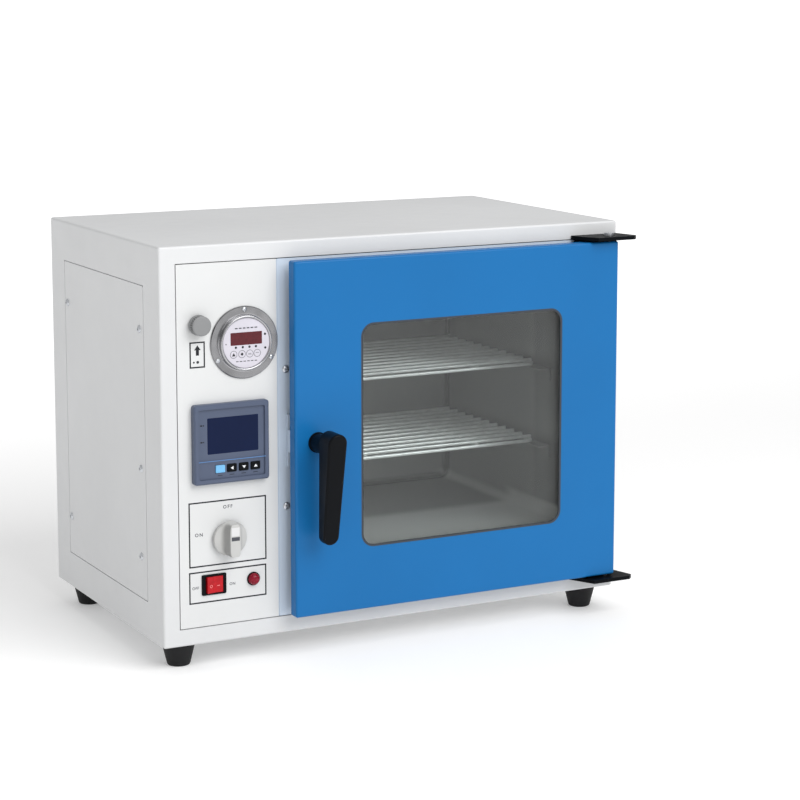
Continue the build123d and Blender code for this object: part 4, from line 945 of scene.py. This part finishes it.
class OVEN_OT_valve_knob(bpy.types.Operator):
    """Build the vacuum valve's knob, a round skirt with a pointed fin"""

    bl_idname = "oven.valve_knob"
    bl_label = "Valve Knob"

    def execute(self, context):
        wanted = context.scene.oven_knobs
        (u, w), steps = VALVE_KNOB, 96

        def outline(across, up, square, v):
            """A ring at v: an ellipse where square is 2, and nearer a rectangle above that."""
            ring = []
            for step in range(steps):
                angle = 2 * math.pi * step / steps
                side, top = math.cos(angle), math.sin(angle)
                side = math.copysign(abs(side) ** (2 / square), side)
                top = math.copysign(abs(top) ** (2 / square), top)
                ring.append(place(u + across * side, v, w + up * top))
            return ring

        bm = bmesh.new()
        width = wanted.fin_width
        rings = [
            outline(3, 3, 2, 10.9),
            outline(3, 3, 2, -2.5),
            outline(17.9, 17.9, 2, -2.5),
            outline(18.5, 18.5, 2, -3.2),
            outline(18.5, 18.5, 2, -5.6),
            outline(18.2, 18.3, 2, -6.2),
            outline(16.6, 18.1, 2.1, -6.8),
            outline(13.2, 17.9, 2.3, -7.6),
            outline(10.6, 17.8, 2.6, -8.6),
            outline(width + 3.0, 17.7, 3.0, -10.2),
            outline(width + 1.9, 17.6, 3.6, -12.6),
            outline(width + 0.9, 17.5, 4.4, -15.6),
            outline(width + 0.2, 17.4, 5.0, -18.2),
            outline(width - 0.1, 17.1, 5.0, -18.8),
            outline(width - 0.6, 16.6, 5.0, -19),
        ]
        loft(bm, rings)
        finish, replaced = finishes["knob_light"], ("vacuum_valve_knob",)
        keep("valve_knob_grip", bm, finish, "valve_knob", replaced, 35)
        bm = bmesh.new()
        slab(bm, u - 4.3, u + 4.3, w + 5.4, w + 14.4, -18.9, -19.06)
        keep("valve_knob_label", bm, finishes["knob_label"], "valve_knob", smooth=0)
        bm = bmesh.new()
        slab(bm, u - 4.6, u + 4.6, w + 0.3, w + 4.3, -18.9, -19.06)
        finish = finishes["pale_ink"]
        keep("valve_knob_mark", bm, finish, "valve_knob", smooth=0)
        return {"FINISHED"}


class OVEN_OT_controller(bpy.types.Operator):
    """Print the controller's line, marks and key symbols"""

    bl_idname = "oven.controller"
    bl_label = "Controller"

    def execute(self, context):
        node = "controller_bezel"
        bm = bmesh.new()
        print_box(bm, node, 38.4, 114.2, 195.2, 195.9)
        keep("controller_line", bm, finishes["line_ink"], "cabinet", smooth=0)
        bm = bmesh.new()
        for w in (233.4, 215.9):
            print_box(bm, node, 41.2, 43.6, w - 0.7, w + 0.7)
            print_box(bm, node, 44.3, 45.4, w - 0.7, w + 0.7)
        for u in (62.9, 76.1, 89.5, 102.7):
            print_box(bm, node, u - 2.6, u + 2.6, 179.2, 179.8)
        keep("controller_marks", bm, finishes["ink"], "cabinet", smooth=0)
        symbols = {
            "shift_key": ("key_shift", [(-1.9, 0), (1.3, 1.9), (1.3, -1.9)]),
            "down_key": ("key_down", [(-2.1, 1.3), (2.1, 1.3), (0, -1.6)]),
            "up_key": ("key_up", [(-2.1, -1.3), (2.1, -1.3), (0, 1.6)]),
        }
        for key, (body, corners) in symbols.items():
            low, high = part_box(key)
            middle = (Vector(low) + Vector(high)) / 2 / MM - CORNER
            bm = bmesh.new()
            print_on(bm, key, [(middle.x + u, middle.z + w) for u, w in corners])
            keep(key + "_symbol", bm, finishes["white_ink"], body, smooth=0)
        return {"FINISHED"}


class OVEN_OT_switch(bpy.types.Operator):
    """Mark the power switch's rocker and build the lamp's dome"""

    bl_idname = "oven.switch"
    bl_label = "Switch and Lamp"

    def execute(self, context):
        bm = bmesh.new()
        u, w = ROCKER
        print_ring(bm, "power_rocker", u - 4.2, w, 1.5, 0.45, 1.1, 24)
        print_box(bm, "power_rocker", u + 3.0, u + 6.0, w - 0.3, w + 0.3)
        keep("rocker_symbols", bm, finishes["rocker_ink"], "rocker", smooth=0)
        bm = bmesh.new()
        profile = [(6.25, -1.1), (6.25, -2.4), (6.0, -3.4), (5.5, -4.6), (4.7, -5.6), (3.5, -6.4)]
        profile += [(2.0, -6.85), (0.3, -7)]
        turned(bm, *LAMP, profile, 48)
        keep("lamp_dome", bm, finishes["lamp_red"], "cabinet", ("lamp_lens",))
        return {"FINISHED"}


class OVEN_OT_shelf_welds(bpy.types.Operator):
    """Weld the bars of the wire shelves to their frames"""

    bl_idname = "oven.shelf_welds"
    bl_label = "Shelf Welds"

    def execute(self, context):
        wanted = context.scene.oven_shelves
        tree = bead_tree()
        wire, bars = 0.004, 11
        for seed, place_name in enumerate(("lower", "upper")):
            low, high = (Vector(corner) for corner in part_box("wire_shelf_" + place_name))
            pitch = (high.y - low.y - wire) / bars
            level = low.z + 0.75 * wire
            quarter = (high.x - low.x - wire) / 4
            left, right, front = low.x + wire / 2, high.x - wire / 2, low.y + wire / 2
            points = [
                (x, front + pitch * (number + 0.5), level)
                for number in range(bars)
                for x in (left, left + quarter, right - quarter, right)
            ]
            values = {"Radius": wanted.bead, "Seed": seed, "Material": finishes["chrome"]}
            mesh = repeat("shelf_welds_" + place_name, points, tree, values)
            keep_mesh("shelf_welds_" + place_name, mesh, None, "shelf_" + place_name)
        return {"FINISHED"}


class OVEN_OT_inlet(bpy.types.Operator):
    """Sheath the pins of the mains inlet"""

    bl_idname = "oven.inlet"
    bl_label = "Mains Inlet"

    def execute(self, context):
        bm = bmesh.new()
        half_u, half_w = 1.05, 2.05
        for across, up in ((-7, -2), (7, -2), (0, 2)):
            u, w, rings = INLET[0] + across, INLET[1] + up, []
            for inset, v in ((0, 310.2), (0, 321.4), (0.5, 322.0)):
                a, b = half_u - inset, half_w - inset
                corners = [(-a, -b), (a, -b), (a, b), (-a, b)]
                rings.append([place(u + x, v, w + z) for x, z in corners])
            loft(bm, rings)
        keep("inlet_pin_sheaths", bm, finishes["brass"], "cabinet", smooth=0)
        return {"FINISHED"}


class OVEN_OT_stage(bpy.types.Operator):
    """Set the floor, the lights and the camera"""

    bl_idname = "oven.stage"
    bl_label = "Stage"

    def execute(self, context):
        wanted = context.scene.oven_stage
        scene = context.scene
        scene.view_settings.view_transform = "Standard"
        lens = bpy.data.cameras.new("camera")
        lens.lens, lens.sensor_width, lens.shift_y = wanted.lens, 36.0, CAMERA_SHIFT
        camera = bpy.data.objects.new("camera", lens)
        camera.location = CAMERA_PLACE
        camera.rotation_euler = Euler((math.pi / 2 - CAMERA_DIP, 0, CAMERA_TURN))
        scene.collection.objects.link(camera)
        scene.camera = camera
        bm = bmesh.new()
        corners = ((-1, -1, 0), (1, -1, 0), (1, 1, 0), (-1, 1, 0))
        bm.faces.new([bm.verts.new(Vector(corner) * FLOOR_REACH) for corner in corners])
        mesh = bpy.data.meshes.new("floor")
        bm.to_mesh(mesh)
        bm.free()
        colour = shade(WHITE, wanted.floor_tone)
        finish, nodes, shader, where = material("studio_floor", colour, 0.6, shine=0.2)
        nodes.feed(shader, nodes.tones(nodes.noise(where, 2.0), colour, 1.0, 0.99))
        back = nodes.add("ShaderNodeSeparateXYZ", {0: where}).outputs[1]
        glow = nodes.remap(back, 0.4, 2.6, wanted.floor_glow, wanted.far_glow, "SMOOTHSTEP")
        nodes.put(WHITE, shader.inputs["Emission Color"])
        nodes.put(glow, shader.inputs["Emission Strength"])
        mesh.materials.append(finish)
        floor = bpy.data.objects.new("floor", mesh)
        scene.collection.objects.link(floor)
        key = bpy.data.lights.new("key_light", "AREA")
        key.size, key.energy = LIGHT_SIZE, wanted.key_power
        holder = bpy.data.objects.new("key_light", key)
        holder.location = LIGHT_PLACE
        aim = Vector(LIGHT_TARGET) - holder.location
        holder.rotation_euler = aim.to_track_quat("-Z", "Y").to_euler()
        scene.collection.objects.link(holder)
        world = bpy.data.worlds.new("studio")
        world.use_nodes = True
        background = world.node_tree.nodes["Background"]
        background.inputs["Color"].default_value = WHITE
        background.inputs["Strength"].default_value = wanted.sky
        scene.world = world
        return {"FINISHED"}


class OVEN_PT_panel(bpy.types.Panel):
    """Sidebar panel with the settings and one button for each part of the work"""

    bl_idname = "OVEN_PT_panel"
    bl_label = "Vacuum Oven"
    bl_space_type = "VIEW_3D"
    bl_region_type = "UI"
    bl_category = "Oven"

    def draw(self, context):
        for name in SETTINGS:
            settings = getattr(context.scene, name)
            for item in settings.bl_rna.properties:
                if item.identifier not in ("name", "rna_type"):
                    self.layout.prop(settings, item.identifier)
        for operator in OPERATORS:
            self.layout.operator(operator.bl_idname)


SETTINGS = {
    "oven_stage": OvenStageSettings,
    "oven_screws": OvenScrewSettings,
    "oven_marks": OvenMarkSettings,
    "oven_knobs": OvenKnobSettings,
    "oven_shelves": OvenShelfSettings,
}
OPERATORS = (
    OVEN_OT_stage,
    OVEN_OT_finishes,
    OVEN_OT_screws,
    OVEN_OT_panel_marks,
    OVEN_OT_gauge,
    OVEN_OT_release_knob,
    OVEN_OT_valve_knob,
    OVEN_OT_controller,
    OVEN_OT_switch,
    OVEN_OT_shelf_welds,
    OVEN_OT_inlet,
)
CLASSES = (*SETTINGS.values(), *OPERATORS, OVEN_PT_panel)


def register():
    for made in CLASSES:
        bpy.utils.register_class(made)
    for name, settings in SETTINGS.items():
        setattr(bpy.types.Scene, name, bpy.props.PointerProperty(type=settings))


def unregister():
    for name in SETTINGS:
        delattr(bpy.types.Scene, name)
    for made in reversed(CLASSES):
        bpy.utils.unregister_class(made)


def main():
    register()
    bpy.ops.oven.stage()
    bpy.ops.oven.finishes()
    bpy.ops.oven.screws()
    bpy.ops.oven.panel_marks()
    bpy.ops.oven.gauge()
    bpy.ops.oven.release_knob()
    bpy.ops.oven.valve_knob()
    bpy.ops.oven.controller()
    bpy.ops.oven.switch()
    bpy.ops.oven.shelf_welds()
    bpy.ops.oven.inlet()


if __name__ == "__main__":
    main()
